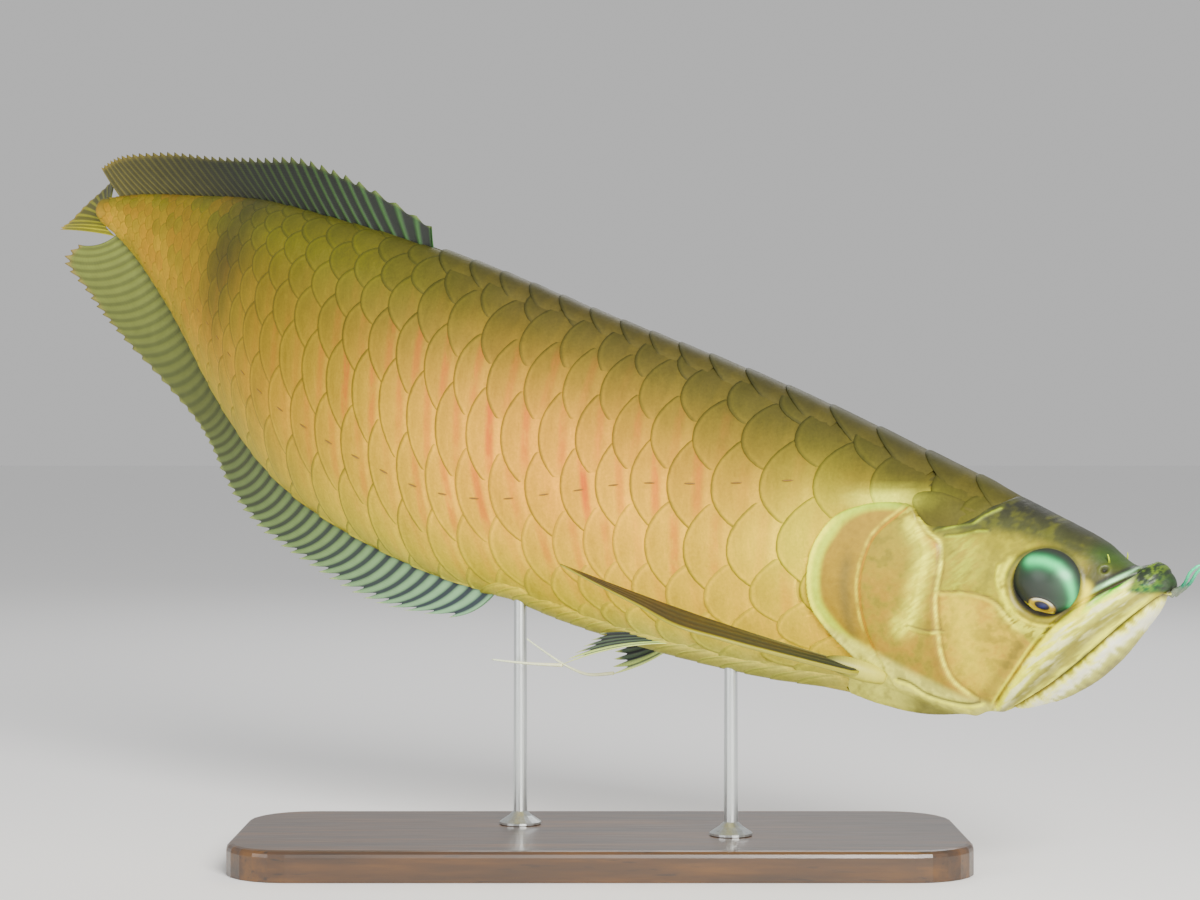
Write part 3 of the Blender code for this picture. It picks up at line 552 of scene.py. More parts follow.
class Finish:
    """A procedural material."""

    def __init__(self, name, **constants):
        self.material = bpy.data.materials.new(name)
        self.material.use_nodes = True
        self.tree = self.material.node_tree
        self.shader = self.tree.nodes["Principled BSDF"]
        for key, value in constants.items():
            self.shader.inputs[key.replace("_", " ")].default_value = value

    def node(self, kind, settings=(), sockets=(), output=0):
        """Any node: its settings, or a ramp's stops, then the values or wires of its sockets."""
        made = self.tree.nodes.new("ShaderNode" + kind)
        for key, value in dict(settings).items():
            if key == "stops":
                for spare in range(len(value) - 2):
                    made.color_ramp.elements.new(0.5)
                for element, (position, colour) in zip(made.color_ramp.elements, value):
                    element.position, element.color = position, (*colour, 1)
            else:
                setattr(made, key, value)
        for key, value in dict(sockets).items():
            self.join(value, made.inputs[key])
        return Wire(self, made.outputs[output])

    def join(self, value, socket):
        if isinstance(value, Wire):
            self.tree.links.new(value.socket, socket)
        else:
            socket.default_value = value

    def place(self):
        return self.node("TexCoord", output=3)

    def noise(self, scale, detail=3.0, vector=None, roughness=0.5):
        sockets = {"Vector": vector or self.place(), "Scale": scale, "Detail": detail, "Roughness": roughness}
        return self.node("TexNoise", (), sockets)

    def stretched(self, vector, by):
        return self.node("VectorMath", {"operation": "MULTIPLY"}, {0: vector, 1: by})

    def between(self, x, low, high):
        """0 where x is at low, 1 where it is at high, smooth between."""
        sockets = {"Value": x, 1: low, 2: high}
        return self.node("MapRange", {"interpolation_type": "SMOOTHSTEP"}, sockets)

    def mix(self, share, under, over):
        """One colour over another; colours are wires or paint numbers."""
        under, over = (c if isinstance(c, Wire) else (*rgb(*c), 1) for c in (under, over))
        return self.node("Mix", {"data_type": "RGBA"}, {0: share, 6: under, 7: over}, 2)

    def shade(self, colour, by):
        """A colour made lighter or darker by a wire about 1."""
        grey = self.node("CombineXYZ", (), {0: by, 1: by, 2: by})
        sockets = {0: 1.0, 6: colour, 7: grey}
        return self.node("Mix", {"data_type": "RGBA", "blend_type": "MULTIPLY"}, sockets, 2)

    def tone(self, share, colour, by):
        """A colour multiplied by three numbers about 1, as far as share."""
        sockets = {0: share, 6: colour, 7: (*by, 1)}
        return self.node("Mix", {"data_type": "RGBA", "blend_type": "MULTIPLY"}, sockets, 2)

    def tint(self, output=0):
        return self.node("Attribute", {"attribute_name": "tint"}, (), output)

    def map(self, name, output):
        return self.node("SeparateXYZ", (), {0: self.node("UVMap", {"uv_map": name})}, output)

    def relief(self, height, depth, strength):
        sockets = {"Height": height, "Distance": depth, "Strength": strength}
        self.set("Normal", self.node("Bump", (), sockets))

    def set(self, socket, value):
        self.join(value, self.shader.inputs[socket])

    def on(self, obj):
        obj.data.materials.clear()
        obj.data.materials.append(self.material)


def hide():
    """The skin as one closed mesh, with the head's own shape and paint as far as the first scales."""
    shares = SNOUT + (NAPE - SNOUT) * np.linspace(0, 1, HEAD_RINGS) ** HEAD_CROWDING
    shares = np.concatenate([shares, np.linspace(NAPE, TAIL_ROOT, TRUNK_RINGS + 1)[1:]])
    v, w, _ = half_rings(shares, HALF_STEPS + 1)
    s = np.repeat(shares[:, None], HALF_STEPS + 1, 1)
    part = slice(0, HEAD_RINGS + PAST_HEAD_RINGS)
    head = Head(s[part], v[part])
    height = -smooth(SCALE_DEPTH, s)
    covered = ease((head.coat + 0.0004) / 0.0008)
    height[part] = height[part] * covered + head.height() * (1 - covered)
    colour = np.concatenate([flank_colour(s, v) * UNDER_SCALES, np.zeros((*s.shape, 1))], -1)
    face, silver = head.colour()
    face = np.concatenate([face, silver[..., None]], -1)
    colour[part] = colour[part] * covered[..., None] + face * (1 - covered)[..., None]
    # the round end of the flesh in the tail fin
    middle = (v[-1, 0] + v[-1, -1]) / 2
    last_v, last_w = v[-1:], w[-1:]
    for turn in np.linspace(0, math.pi / 2, END_RINGS + 1)[1:-1]:
        s = np.vstack([s, np.full(last_v.shape, TAIL_ROOT + ROUND_END * math.sin(turn))])
        v = np.vstack([v, middle + (last_v - middle) * math.cos(turn)])
        w = np.vstack([w, last_w * math.cos(turn)])
        height, colour = np.vstack([height, height[-1:]]), np.vstack([colour, colour[-1:]])

    def around(array, flip=1):
        return np.concatenate([array, flip * array[:, -2:0:-1]], 1)

    s, v, w, height, colour = around(s), around(v), around(w, -1), around(height), around(colour)
    points = place(s, v, w)
    out = np.cross(np.gradient(points, axis=0), np.roll(points, -1, 1) - np.roll(points, 1, 1))
    out /= np.linalg.norm(out, axis=-1, keepdims=True) + 1e-12
    core = points.mean(1, keepdims=True)
    out *= np.where(((points - core) * out).sum(-1, keepdims=True).mean() < 0, -1, 1)
    points = points + out * height[..., None]
    rows, columns = s.shape
    index = np.arange(rows * columns).reshape(rows, columns)
    right = np.roll(index, -1, 1)
    tip, tail = rows * columns, rows * columns + 1
    faces = ring_quads(index).tolist()
    faces += [(int(right[0, k]), int(index[0, k]), tip) for k in range(columns)]
    faces += [(int(index[-1, k]), int(right[-1, k]), tail) for k in range(columns)]
    points = np.vstack([points.reshape(-1, 3), points[0].mean(0), place(TAIL_ROOT + ROUND_END, middle, 0)])
    colours = np.vstack([colour.reshape(-1, 4), colour[0].mean(0), colour[-1].mean(0)])
    grid = np.meshgrid(np.linspace(0.01, 0.99, rows), np.linspace(0, 1, columns + 1), indexing="ij")
    spread = np.stack(grid, -1)
    corners = np.stack([spread[:-1, :-1], spread[:-1, 1:], spread[1:, 1:], spread[1:, :-1]], 2).reshape(-1, 2)
    ends = []
    for row, order in ((0, (1, 0)), (rows - 1, (0, 1))):
        for k in range(columns):
            ends += [spread[row, k + order[0]], spread[row, k + order[1]], (0.0 if row == 0 else 1.0, 0.5)]
    corners = np.vstack([corners, ends])
    return mesh_piece("hide", points, faces, colours, maps={"OFBake": corners})


skin = hide()
finish = Finish("wet_hide", Coat_Weight=0.08, Coat_Roughness=0.20, Specular_IOR_Level=0.30)
place_wire = finish.place()
mottle = finish.noise(130, 4.0, place_wire)
pores = finish.noise(900, 2.0, place_wire)
finish.set("Base Color", finish.shade(finish.tint(), 0.80 + mottle * 0.40))
finish.set("Roughness", 0.38 + 0.22 * mottle)
finish.set("Metallic", finish.tint(3))
finish.relief(mottle * 0.7 + pores * 0.3, 0.0007, 0.5)
finish.on(skin)
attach(skin, "root")
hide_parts("head", "lower_jaw", "maxilla_left", "maxilla_right", "gill_cover_left", "gill_cover_right")
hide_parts("trunk_front", "trunk_middle", "trunk_rear", "tail", "tail_stalk")

# ---------------------------------------------------------------- the scales
# Large bony plates, each set in the hide at its front and free at its rounded rear edge, over the next one
# behind. The rows run with the line of pores along the flank; a last row straddles the back and the keel.
SCALE_PITCH = [(0.10, 0.040), (0.24, 0.039), (0.274, 0.037), (0.31, 0.0335), (0.345, 0.0310), (0.375, 0.0255)]
SCALE_PITCH += [(0.42, 0.0235), (0.47, 0.0250), (0.52, 0.0243), (0.57, 0.0262), (0.62, 0.0270)]
SCALE_PITCH += [(0.68, 0.0267), (0.74, 0.0230), (0.80, 0.0180), (0.87, 0.0125), (0.966, 0.0090)]
FIRST_EDGE = 0.2555  # the free edge of the first whole scale on the line of pores
PORE_LINE = [(0.10, 0.095), (0.18, 0.066), (0.2555, 0.0403), (0.3255, 0.0130), (0.3858, -0.0085)]
PORE_LINE += [(0.4332, -0.0325), (0.4819, -0.0550), (0.5313, -0.0660), (0.5821, -0.0647), (0.6356, -0.0620)]
PORE_LINE += [(0.6898, -0.0555), (0.78, -0.033), (0.87, -0.012), (0.93, 0.0), (0.966, 0.0065)]
UP_STEP = [(0.10, 0.036), (0.26, 0.038), (0.33, 0.0385), (0.40, 0.042), (0.48, 0.0505), (0.53, 0.0505)]
UP_STEP += [(0.60, 0.051), (0.66, 0.047), (0.72, 0.037), (0.78, 0.026), (0.87, 0.0130), (0.93, 0.0080)]
UP_STEP += [(0.966, 0.0050)]
UP_FALL = [(0.10, 0.003), (0.33, 0.004), (0.48, 0.0055), (0.56, 0.006), (0.63, 0.0085), (0.72, 0.005)]
UP_FALL += [(0.80, 0.002), (0.87, 0.0006), (0.966, 0.0001)]
DOWN_STEP = [(0.10, 0.044), (0.26, 0.048), (0.30, 0.051), (0.38, 0.052), (0.43, 0.050), (0.60, 0.048)]
DOWN_STEP += [(0.66, 0.045), (0.72, 0.036), (0.78, 0.026), (0.87, 0.0130), (0.93, 0.0080), (0.966, 0.0050)]
DOWN_FALL = [(0.10, 0.006), (0.33, 0.009), (0.38, 0.011), (0.45, 0.007), (0.60, 0.006), (0.80, 0.002)]
DOWN_FALL += [(0.966, 0.0001)]
STAGGER = [(0.10, 0.66), (0.26, 0.74), (0.30, 0.80), (0.36, 1.0), (0.40, 1.2), (0.45, 1.36), (0.50, 1.42)]
STAGGER += [(0.55, 1.29), (0.60, 1.15), (0.66, 0.98), (0.75, 0.80), (0.966, 0.6)]  # pitches a row lies back
STAGGER_FALL = [(0.10, 0.08), (0.3, 0.10), (0.40, 0.28), (0.50, 0.32), (0.55, 0.18), (0.62, 0.10)]
STAGGER_FALL += [(0.966, 0.0)]
HALF_HEIGHT, EDGE_POWER = 0.775, 2.2  # of a step from row to row, and how blunt the free edge is
STEP_UP = 0.00062  # metres from one free edge down to the plate behind
CROWN_UP = 0.00020
LARGE = 0.0180  # metres of pitch that count as a full-size plate
EDGE_LINES = (0.0, 0.00010, 0.00035, 0.0012)  # lines of points, metres in from a large plate's free edge
INNER_LINES = (0.18, 0.42, 0.78)  # more lines of points, in pitches from the free edge
EDGE_DROPS = (0.00034, 0.00008)  # how far the two lines nearest the edge are rounded down
ROUND_STEPS = 14
SMALL_POWER = 0.6  # on smaller plates the thickness goes as this power of the pitch
CORNER_DROP, WOBBLE, PLATE_CLEARANCE = 0.0009, 0.00005, 0.0001  # metres
LINE_GAP = 0.0004  # metres, the least way between two lines of points
HEAD_ROWS_END = 0.30  # rows ahead of this share run in under the skin of the head
RIDGE_TALL, KEEL_TALL = 0.019, 0.013  # metres, the step across for the rows on the back and the keel
OVER_SIDES, OVER_SIDES_LESS = 0.00085, 0.00080  # metres that those rows lie over the sides' rows
SPREAD_TURN, CHANCE_TURN = 0.381966, 0.6180339  # steps that spread numbers evenly from plate to plate
AHEAD_OF_FIN, BEHIND_FIN = 0.02, 0.01  # shares past a fin's base where scales still make room for it
FIN_CLEARANCE = 0.0016  # metres from the middle of the back or keel
LEAN = 0.92  # of what would carry each corner right to the next row's edge
CORNER_REACH = 1.27  # the corners run on under the plates beside them

# A chart of the flesh's right half: height, half width and the way out at each share and each step round
chart_s = np.linspace(0.05, TAIL_ROOT, 500)
chart_v, chart_w, chart_girth = half_rings(chart_s, 181)
run_v, run_w = np.gradient(chart_v, axis=1), np.gradient(chart_w, axis=1)
run = np.hypot(run_v, run_w)
chart = np.stack([chart_v, chart_w, run_w / run, -run_v / run], -1)


def on_flank(s, arc, lift, side):
    """A point above the flesh; arc is metres round from the ridge of the back, side +1 for the right."""
    t = arc / np.interp(s, chart_s, chart_girth)
    side = np.where((t < 0) | (t > 1), -side, side)
    t = np.abs(t)
    t = np.where(t > 1, 2 - t, t) * (chart.shape[1] - 1)
    r = np.clip((s - chart_s[0]) / (chart_s[1] - chart_s[0]), 0, len(chart_s) - 1.001)
    i, j = r.astype(int), np.clip(t, 0, chart.shape[1] - 1.001).astype(int)
    a, b = (r - i)[..., None], (t - j)[..., None]
    low = chart[i, j] * (1 - b) + chart[i, j + 1] * b
    high = chart[i + 1, j] * (1 - b) + chart[i + 1, j + 1] * b
    v, w, out_v, out_w = np.moveaxis(low * (1 - a) + high * a, -1, 0)
    return place(s, v + out_v * lift / LENGTH, side * (w + out_w * lift / LENGTH)), v


arc_steps = np.linspace(0, 1, chart.shape[1])
PORE_ARC = np.array(
    [np.interp(-smooth(PORE_LINE, s), -chart_v[k], arc_steps * chart_girth[k]) for k, s in enumerate(chart_s)]
)
EDGE_COUNT = np.concatenate([[0], np.cumsum(np.diff(chart_s) / smooth(SCALE_PITCH, chart_s[1:]))])
EDGE_COUNT -= np.interp(FIRST_EDGE, chart_s, EDGE_COUNT)


def row_arc(s, row):
    """How far round from the ridge of the back a row of scales runs; rows count up from the pores."""
    if row >= 0:
        step, fall = smooth(UP_STEP, s), smooth(UP_FALL, s)
        near = np.minimum(row, 0.55 * step / fall)
        rise = near * step - near * near / 2 * fall + 0.45 * step * (row - near)
    else:
        rise = row * smooth(DOWN_STEP, s) + row * row / 2 * smooth(DOWN_FALL, s)
    return np.interp(s, chart_s, PORE_ARC) - rise * LENGTH


def lies_back(row, s):
    """How many pitches a row's scales lie behind those of the pore row, and the last row's share of that."""
    step, fall = smooth(STAGGER, s), np.maximum(smooth(STAGGER_FALL, s), 1e-4)
    near = np.minimum(max(row, 0), np.maximum(step - 0.35, 0) / fall)
    last = step - near * fall
    back = near * step - near * near / 2 * fall + (max(row, 0) - near) * last + min(row, 0) * step
    return back, last


def row_places(row):
    """The middles of the scales of one row."""
    count = np.maximum.accumulate(EDGE_COUNT - lies_back(row, chart_s)[0])
    edges = np.arange(math.ceil(count[0]), math.floor(count[-1])) + 0.5
    return np.interp(edges, count, chart_s)


def from_coat_edge(s, v):
    """How far one point lies behind the edge of the coat of scales, as a share of the length."""
    return from_line(COAT_EDGE, np.array([s]), np.array([v]))[0] / LENGTH


class Coat:
    """Collects plates for one joined piece."""

    def __init__(self, name):
        self.name, self.points, self.faces, self.tints = name, [], [], []
        self.lie, self.spot, self.mark, self.bake, self.count = [], [], [], [], 0
        self.dice = np.random.default_rng(len(name))

    def plate(self, s0, arc_of, tall, lean, side, keep=None, more=0.0, pitch=None, dark=0.0):
        """One plate whose middle lies at share s0 on the line arc_of; tall is the step to the next row."""
        pitch = (pitch or smooth(SCALE_PITCH, s0)) * LENGTH
        size = min(1.0, pitch / LARGE) ** SMALL_POWER
        across = np.linspace(-CORNER_REACH, CORNER_REACH, ROUND_STEPS + 1)
        rear = 0.5 * pitch * (1 - np.abs(across) ** EDGE_POWER)
        front = -pitch * (1 - 0.12 * across**2)
        lines = np.array([*(e * size for e in EDGE_LINES), *(e * pitch for e in INNER_LINES)])
        x = np.concatenate([rear[:, None] - lines[None], front[:, None]], 1)
        x[:, :-1] = np.maximum(x[:, :-1], x[:, -1:] + LINE_GAP * size * np.arange(len(lines), 0, -1))
        y = np.repeat((across * HALF_HEIGHT * tall)[:, None], x.shape[1], 1)
        s = np.minimum(s0 + (x + lean * y) / LENGTH, TAIL_ROOT)
        arc = arc_of(s) - y
        if keep:
            arc = np.clip(arc, keep[0], np.interp(s, chart_s, chart_girth) - keep[1])
        jitter = self.dice.normal(0, 1, 4)
        lift = STEP_UP * size * (x + 1.05 * pitch) / pitch + CROWN_UP * size * (1 - across[:, None] ** 2)
        lift += WOBBLE * (jitter[0] * across[:, None] + jitter[1] * x / pitch)
        lift -= CORNER_DROP * size * ease((np.abs(across[:, None]) - 0.97) / 0.30)
        for k, drop in enumerate(EDGE_DROPS):
            lift[:, k] -= drop * size
        lift = lift - smooth(SCALE_DEPTH, s) + PLATE_CLEARANCE + more
        if s0 < HEAD_ROWS_END:
            turn = np.abs(arc).ravel() / np.interp(s0, chart_s, chart_girth)
            v = np.interp(turn, arc_steps, chart_v[np.searchsorted(chart_s, s0)])
            ahead = -from_line(COAT_EDGE, s, v.reshape(s.shape))
            lift += (0.35 * (lift + 0.001) - 0.0007 - lift) * ease((ahead + 0.0130) / 0.0120)
            lift -= 0.0018 * ease((ahead - 0.0020) / 0.004) + 0.0045 * ease((ahead - 0.006) / 0.006)
        points, v = on_flank(s, arc, lift, side)
        rows, columns = x.shape
        index = self.count + np.arange(rows * columns).reshape(rows, columns)
        quads = np.stack([index[:-1, :-1], index[:-1, 1:], index[1:, 1:], index[1:, :-1]], -1).reshape(-1, 4)
        rim = [*index[0, :], *index[1:, -1], *index[-1, -2::-1], *index[-2:0:-1, 0]]
        if side < 0:
            quads = quads[:, ::-1]
        else:
            rim = rim[::-1]
        self.faces += quads.tolist() + [[int(k) for k in rim]]
        self.points.append(points.reshape(-1, 3))
        self.count += rows * columns
        # how far each point is from the free edge, in millimetres of a full-size plate
        edge = np.stack([rear, across * HALF_HEIGHT * tall], -1)
        gap = np.full(x.shape, FAR)
        for a, b in zip(edge, edge[1:]):
            d = b - a
            t = np.clip(((x - a[0]) * d[0] + (y - a[1]) * d[1]) / (d @ d), 0, 1)
            gap = np.minimum(gap, np.hypot(x - a[0] - t * d[0], y - a[1] - t * d[1]))
        gap[:, 0] = 0
        share = float(((v + smooth(BELLY, s)) / (smooth(BACK, s) + smooth(BELLY, s))).mean())
        wide = np.repeat(across[:, None], columns, 1)
        pale = ease((0.42 - share) / 0.12) * ease((0.56 - s0) / 0.10) + 0.60 * ease((s0 - 0.57) / 0.12)
        self.lie.append(np.stack([gap * 1000 / size, np.full(x.shape, pale)], -1).reshape(-1, 2))
        self.spot.append(np.stack([x / pitch, wide], -1).reshape(-1, 2))
        fleck = bump(s0 - 0.47, 0.17) * bump(share - 0.47, 0.26) * ease((0.86 - share) / 0.12)
        mark = np.array([np.clip(fleck * (0.85 + 0.35 * jitter[2]), 0, 1), (self.count * CHANCE_TURN) % 1.0])
        self.mark.append(np.repeat(mark[None], rows * columns, 0))
        tint = flank_colour(s, v) * (1 + 0.04 * jitter[3])
        wild = ease((s0 - 0.78) / 0.06)
        hue = (self.count * SPREAD_TURN) % 1.0
        mottle = (206, 152, 84) if hue < 0.35 else (150, 146, 76) if hue > 0.68 else (206, 172, 96)
        tint = paint(tint, mottle, 0.17 * wild + 0.05 * ease((0.80 - share) / 0.3))
        tint = paint(tint, (92, 86, 40), dark)
        line = 1 - 0.75 * ease((s0 - 0.74) / 0.08)
        line = line - 0.62 * ease((0.235 - s0) / 0.06) * ease((share - 0.5) / 0.2)
        line *= 1 - 0.40 * ease((share - 0.60) / 0.30)
        self.tints.append(with_share(tint, line))
        girth = np.interp(s0, chart_s, chart_girth)
        patch = np.stack([x / LENGTH, -y / girth], -1) * 0.5 + (s0, np.clip(arc_of(s0) / girth, 0, 1))
        self.bake.append(np.clip(patch * (1, 0.94) + (0, 0.03), 0, 1).reshape(-1, 2))

    def joined(self):
        """All plates so far as one object."""
        maps = {"OFBake": self.bake, "lie": self.lie, "spot": self.spot, "mark": self.mark}
        maps = {key: np.vstack(value) for key, value in maps.items()}
        return mesh_piece(self.name, np.vstack(self.points), self.faces, np.vstack(self.tints), maps=maps)


DORSAL_BASE, ANAL_BASE = (0.602, 0.950), (0.467, 0.944)
NAPE_PLATE = (0.1600, 0.0508, 0.046, 0.0118)  # share back, share up, pitch, metres tall
pores_at = []


def scale_side(name, side):
    """All whole rows of one side, clear of the head and of the fins."""
    coat = Coat(name)
    for row in range(-9, 16):
        for s0 in row_places(row):
            s0 = float(s0)
            if not 0.10 < s0 < TAIL_ROOT - 0.002:
                continue
            arc0 = float(row_arc(s0, row))
            tall = float(row_arc(s0, row - 1) - row_arc(s0, row + 1)) / 2
            if tall < 0.25 * smooth(UP_STEP, s0) * LENGTH:
                continue
            girth = float(np.interp(s0, chart_s, chart_girth))
            fin_above = DORSAL_BASE[0] - AHEAD_OF_FIN < s0 < DORSAL_BASE[1] + BEHIND_FIN
            fin_below = ANAL_BASE[0] - AHEAD_OF_FIN < s0 < ANAL_BASE[1] + BEHIND_FIN
            above, below = (-0.35 if fin_above else 0.20), (0.35 if fin_below else -0.20)
            if not above * tall < arc0 < girth + below * tall:
                continue
            v0 = float(np.interp(arc0 / girth, arc_steps, chart_v[np.searchsorted(chart_s, s0) - 1]))
            pitch = float(smooth(SCALE_PITCH, s0))
            if from_coat_edge(s0 + 0.42 * pitch, v0) < 0:
                continue
            keep = (FIN_CLEARANCE if fin_above else -tall, FIN_CLEARANCE if fin_below else -tall)
            lean = LEAN * (float(lies_back(row, s0)[1]) - 0.5) * pitch * LENGTH / tall
            coat.plate(s0, lambda s, row=row: row_arc(s, row), tall, lean, side, keep)
            if row == 0 and 0.24 < s0 < 0.86:
                pores_at.append((s0, side))
    s0, v0, pitch, tall = NAPE_PLATE
    girth = float(np.interp(s0, chart_s, chart_girth))
    ring = chart_v[np.searchsorted(chart_s, s0)]
    arc0 = float(np.interp(-v0, -ring, arc_steps * girth))
    coat.plate(s0, lambda s: arc0 + 0 * s, tall, 0.15, side, pitch=pitch, more=0.00040, dark=0.30)
    return coat.joined()


def on_back(s):
    """The ridge of the back, in metres round from itself."""
    return np.zeros(np.shape(s))


def on_keel(s):
    """The keel of the belly, in metres round from the ridge of the back."""
    return np.interp(s, chart_s, chart_girth)


def scale_ridge(name):
    """The row over the back, and the row over the keel with a second one between its scales."""
    coat = Coat(name)
    for s0 in np.interp(np.arange(-20, 30), EDGE_COUNT, chart_s):
        if COAT_EDGE[1][0] - 0.016 < s0 < DORSAL_BASE[0] - 0.008:
            coat.plate(s0, on_back, RIDGE_TALL, 0, 1, more=OVER_SIDES)
        if 0.185 < s0 < ANAL_BASE[0] - 0.010:
            between = s0 + 0.5 * float(smooth(SCALE_PITCH, s0))
            coat.plate(s0, on_keel, KEEL_TALL, 0, 1, more=OVER_SIDES)
            coat.plate(between, on_keel, KEEL_TALL, 0, 1, more=OVER_SIDES_LESS)
    return coat.joined()


scales = [scale_side("scales_right", 1), scale_side("scales_left", -1), scale_ridge("scales_ridge")]
finish = Finish("pearly_scale", Coat_Weight=0.05, Coat_Roughness=0.30, Metallic=0.30, Specular_IOR_Level=0.30)
place_wire = finish.place()
gap, pale = finish.map("lie", 0), finish.map("lie", 1)
along, across = finish.map("spot", 0), finish.map("spot", 1)
fleck, chance = finish.map("mark", 0), finish.map("mark", 1)
cloud = finish.noise(95, 4.0, place_wire)
speckle = finish.noise(420, 3.0, place_wire)
shift = finish.node("CombineXYZ", (), {0: chance})
shifted = finish.node("VectorMath", {"operation": "ADD"}, {0: place_wire, 1: shift})
blotch = finish.noise(75, 3.0, shifted)
fibres = finish.noise(1.0, 3.0, finish.stretched(shifted, (420.0, 420.0, 90.0)))
sand = finish.noise(820, 3.0, place_wire)
colour = finish.shade(finish.tint(), 0.68 + cloud * 0.28 + sand * 0.42)
off_middle = across.math("ABSOLUTE", across)
colour = finish.tone(finish.between(along, -0.16, 0.30) * 0.75, colour, (0.78, 0.84, 0.66))
# a paler strip where each plate shows from under the one ahead: painted highlight
colour = finish.tone(finish.between(along, -0.24, -0.46) * 0.80, colour, (1.30, 1.23, 1.00))
behind = finish.between((along + 0.20).math("ABSOLUTE", along + 0.20), 0.19, 0.03)
streak = behind * finish.between(off_middle, 1.0, 0.45)
colour = finish.tone(streak * fleck * 0.85, colour, (1.12, 0.88, 0.50))
streak = streak * finish.between(blotch + fibres * 0.8, 0.60, 1.00)
colour = finish.mix(streak * fleck * 0.66, colour, (226, 108, 14))
colour = finish.tone(finish.between(fibres, 0.54, 0.74) * 0.45, colour, (1.25, 1.22, 1.10))
colour = finish.tone(finish.between(fibres, 0.46, 0.30) * 0.45, colour, (0.80, 0.80, 0.74))
ragged = gap + (cloud - 0.5) * 1.3
line = finish.between(ragged, 1.5, 0.30) * finish.tint(3)
colour = finish.tone(line * (0.85 - pale * 0.62), colour, (0.40, 0.50, 0.36))
# a pale band just inside the dark edge line, stronger on the pale plates: painted highlight along the raised
# rim
band = finish.between(ragged, 3.4, 1.6) * finish.between(ragged, 0.9, 1.7)
colour = finish.tone(band * (0.55 + pale * 0.45), colour, (1.22, 1.22, 1.08))
finish.set("Base Color", colour)
finish.set("Roughness", 0.46 + 0.20 * cloud)
finish.relief(cloud * 0.5 + speckle * 0.25 + fibres * 0.25, 0.0006, 0.35)
for piece in scales:
    finish.on(piece)
    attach(piece, "root")

# ---------------------------------------------------------------- the pores
# Along the flank each scale of one row has a short dark slot, the mouth of a canal that feels the water.
PORE_LENGTH, PORE_HALF = 0.0050, 0.00042
PORE_RINGS, PORE_SIDES = 7, 8


def pore_row(name, places):
    """One closed bead for each place, joined in one piece."""
    points, faces = [], []
    turn = np.linspace(0, 2 * math.pi, PORE_SIDES + 1)[:-1]
    for s0, side in places:
        size = min(1.0, float(smooth(SCALE_PITCH, s0)) * LENGTH / LARGE)
        index = len(points) * PORE_SIDES + np.arange(PORE_RINGS * PORE_SIDES).reshape(PORE_RINGS, PORE_SIDES)
        for t in np.linspace(0, 1, PORE_RINGS):
            fat = PORE_HALF * size * max(0.12, math.sin(math.pi * t)) ** 0.5
            s = s0 + PORE_LENGTH * size * (t - 0.62) / LENGTH
            arc = row_arc(s, 0) + fat * np.cos(turn)
            lift = 0.00012 * size + 0.55 * fat * np.sin(turn)
            points.append(on_flank(np.full(PORE_SIDES, s), arc, lift, side)[0])
        first, last = index[0].tolist(), index[-1].tolist()
        quads = ring_quads(index)
        faces += (quads if side < 0 else quads[:, ::-1]).tolist()
        faces += [first[::-1], last] if side < 0 else [first, last[::-1]]
    return mesh_piece(name, np.vstack(points), faces)


pores_piece = pore_row("pores", pores_at)
finish = Finish("pore_brown", Coat_Weight=0.3)
finish.set("Base Color", finish.mix(finish.noise(700), (150, 112, 66), (176, 134, 80)))
finish.set("Roughness", 0.4 + 0.2 * finish.noise(500))
finish.on(pores_piece)
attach(pores_piece, "root")

# ---------------------------------------------------------------- the long fins
# Thin skin stretched over jointed rays. The rays stand proud on both sides, bend back towards the tail
# and end free, so that the edge is toothed. The fins grow straight out of the hide.
ROOT_IN = 0.0035  # share of the length that a fin reaches into the flesh
RAY_STEPS, BETWEEN_RAYS = 22, 8
DORSAL_RAYS, ANAL_RAYS, TAIL_RAYS, RAY_CROWDING = 40, 50, 13, 0.30
DORSAL_BACK = [(0.60, 0.008), (0.612, 0.012), (0.64, 0.035), (0.67, 0.044), (0.70, 0.049), (0.80, 0.058)]
DORSAL_BACK += [(0.86, 0.061), (0.91, 0.054), (0.95, 0.030)]
DORSAL_OUT = [(0.60, 0.013), (0.612, 0.017), (0.64, 0.026), (0.67, 0.030), (0.70, 0.031), (0.745, 0.022)]
DORSAL_OUT += [(0.80, 0.016), (0.86, 0.018), (0.91, 0.016), (0.95, 0.015)]
ANAL_BACK = [(0.467, 0.030), (0.48, 0.038), (0.54, 0.041), (0.63, 0.039), (0.71, 0.040), (0.755, 0.029)]
ANAL_BACK += [(0.785, 0.024), (0.82, 0.039), (0.85, 0.055), (0.90, 0.060), (0.93, 0.060), (0.944, 0.036)]
ANAL_OUT = [(0.467, 0.030), (0.49, 0.035), (0.60, 0.036), (0.70, 0.0345), (0.76, 0.025), (0.79, 0.026)]
ANAL_OUT += [(0.82, 0.029), (0.86, 0.032), (0.90, 0.032), (0.93, 0.026), (0.944, 0.018)]


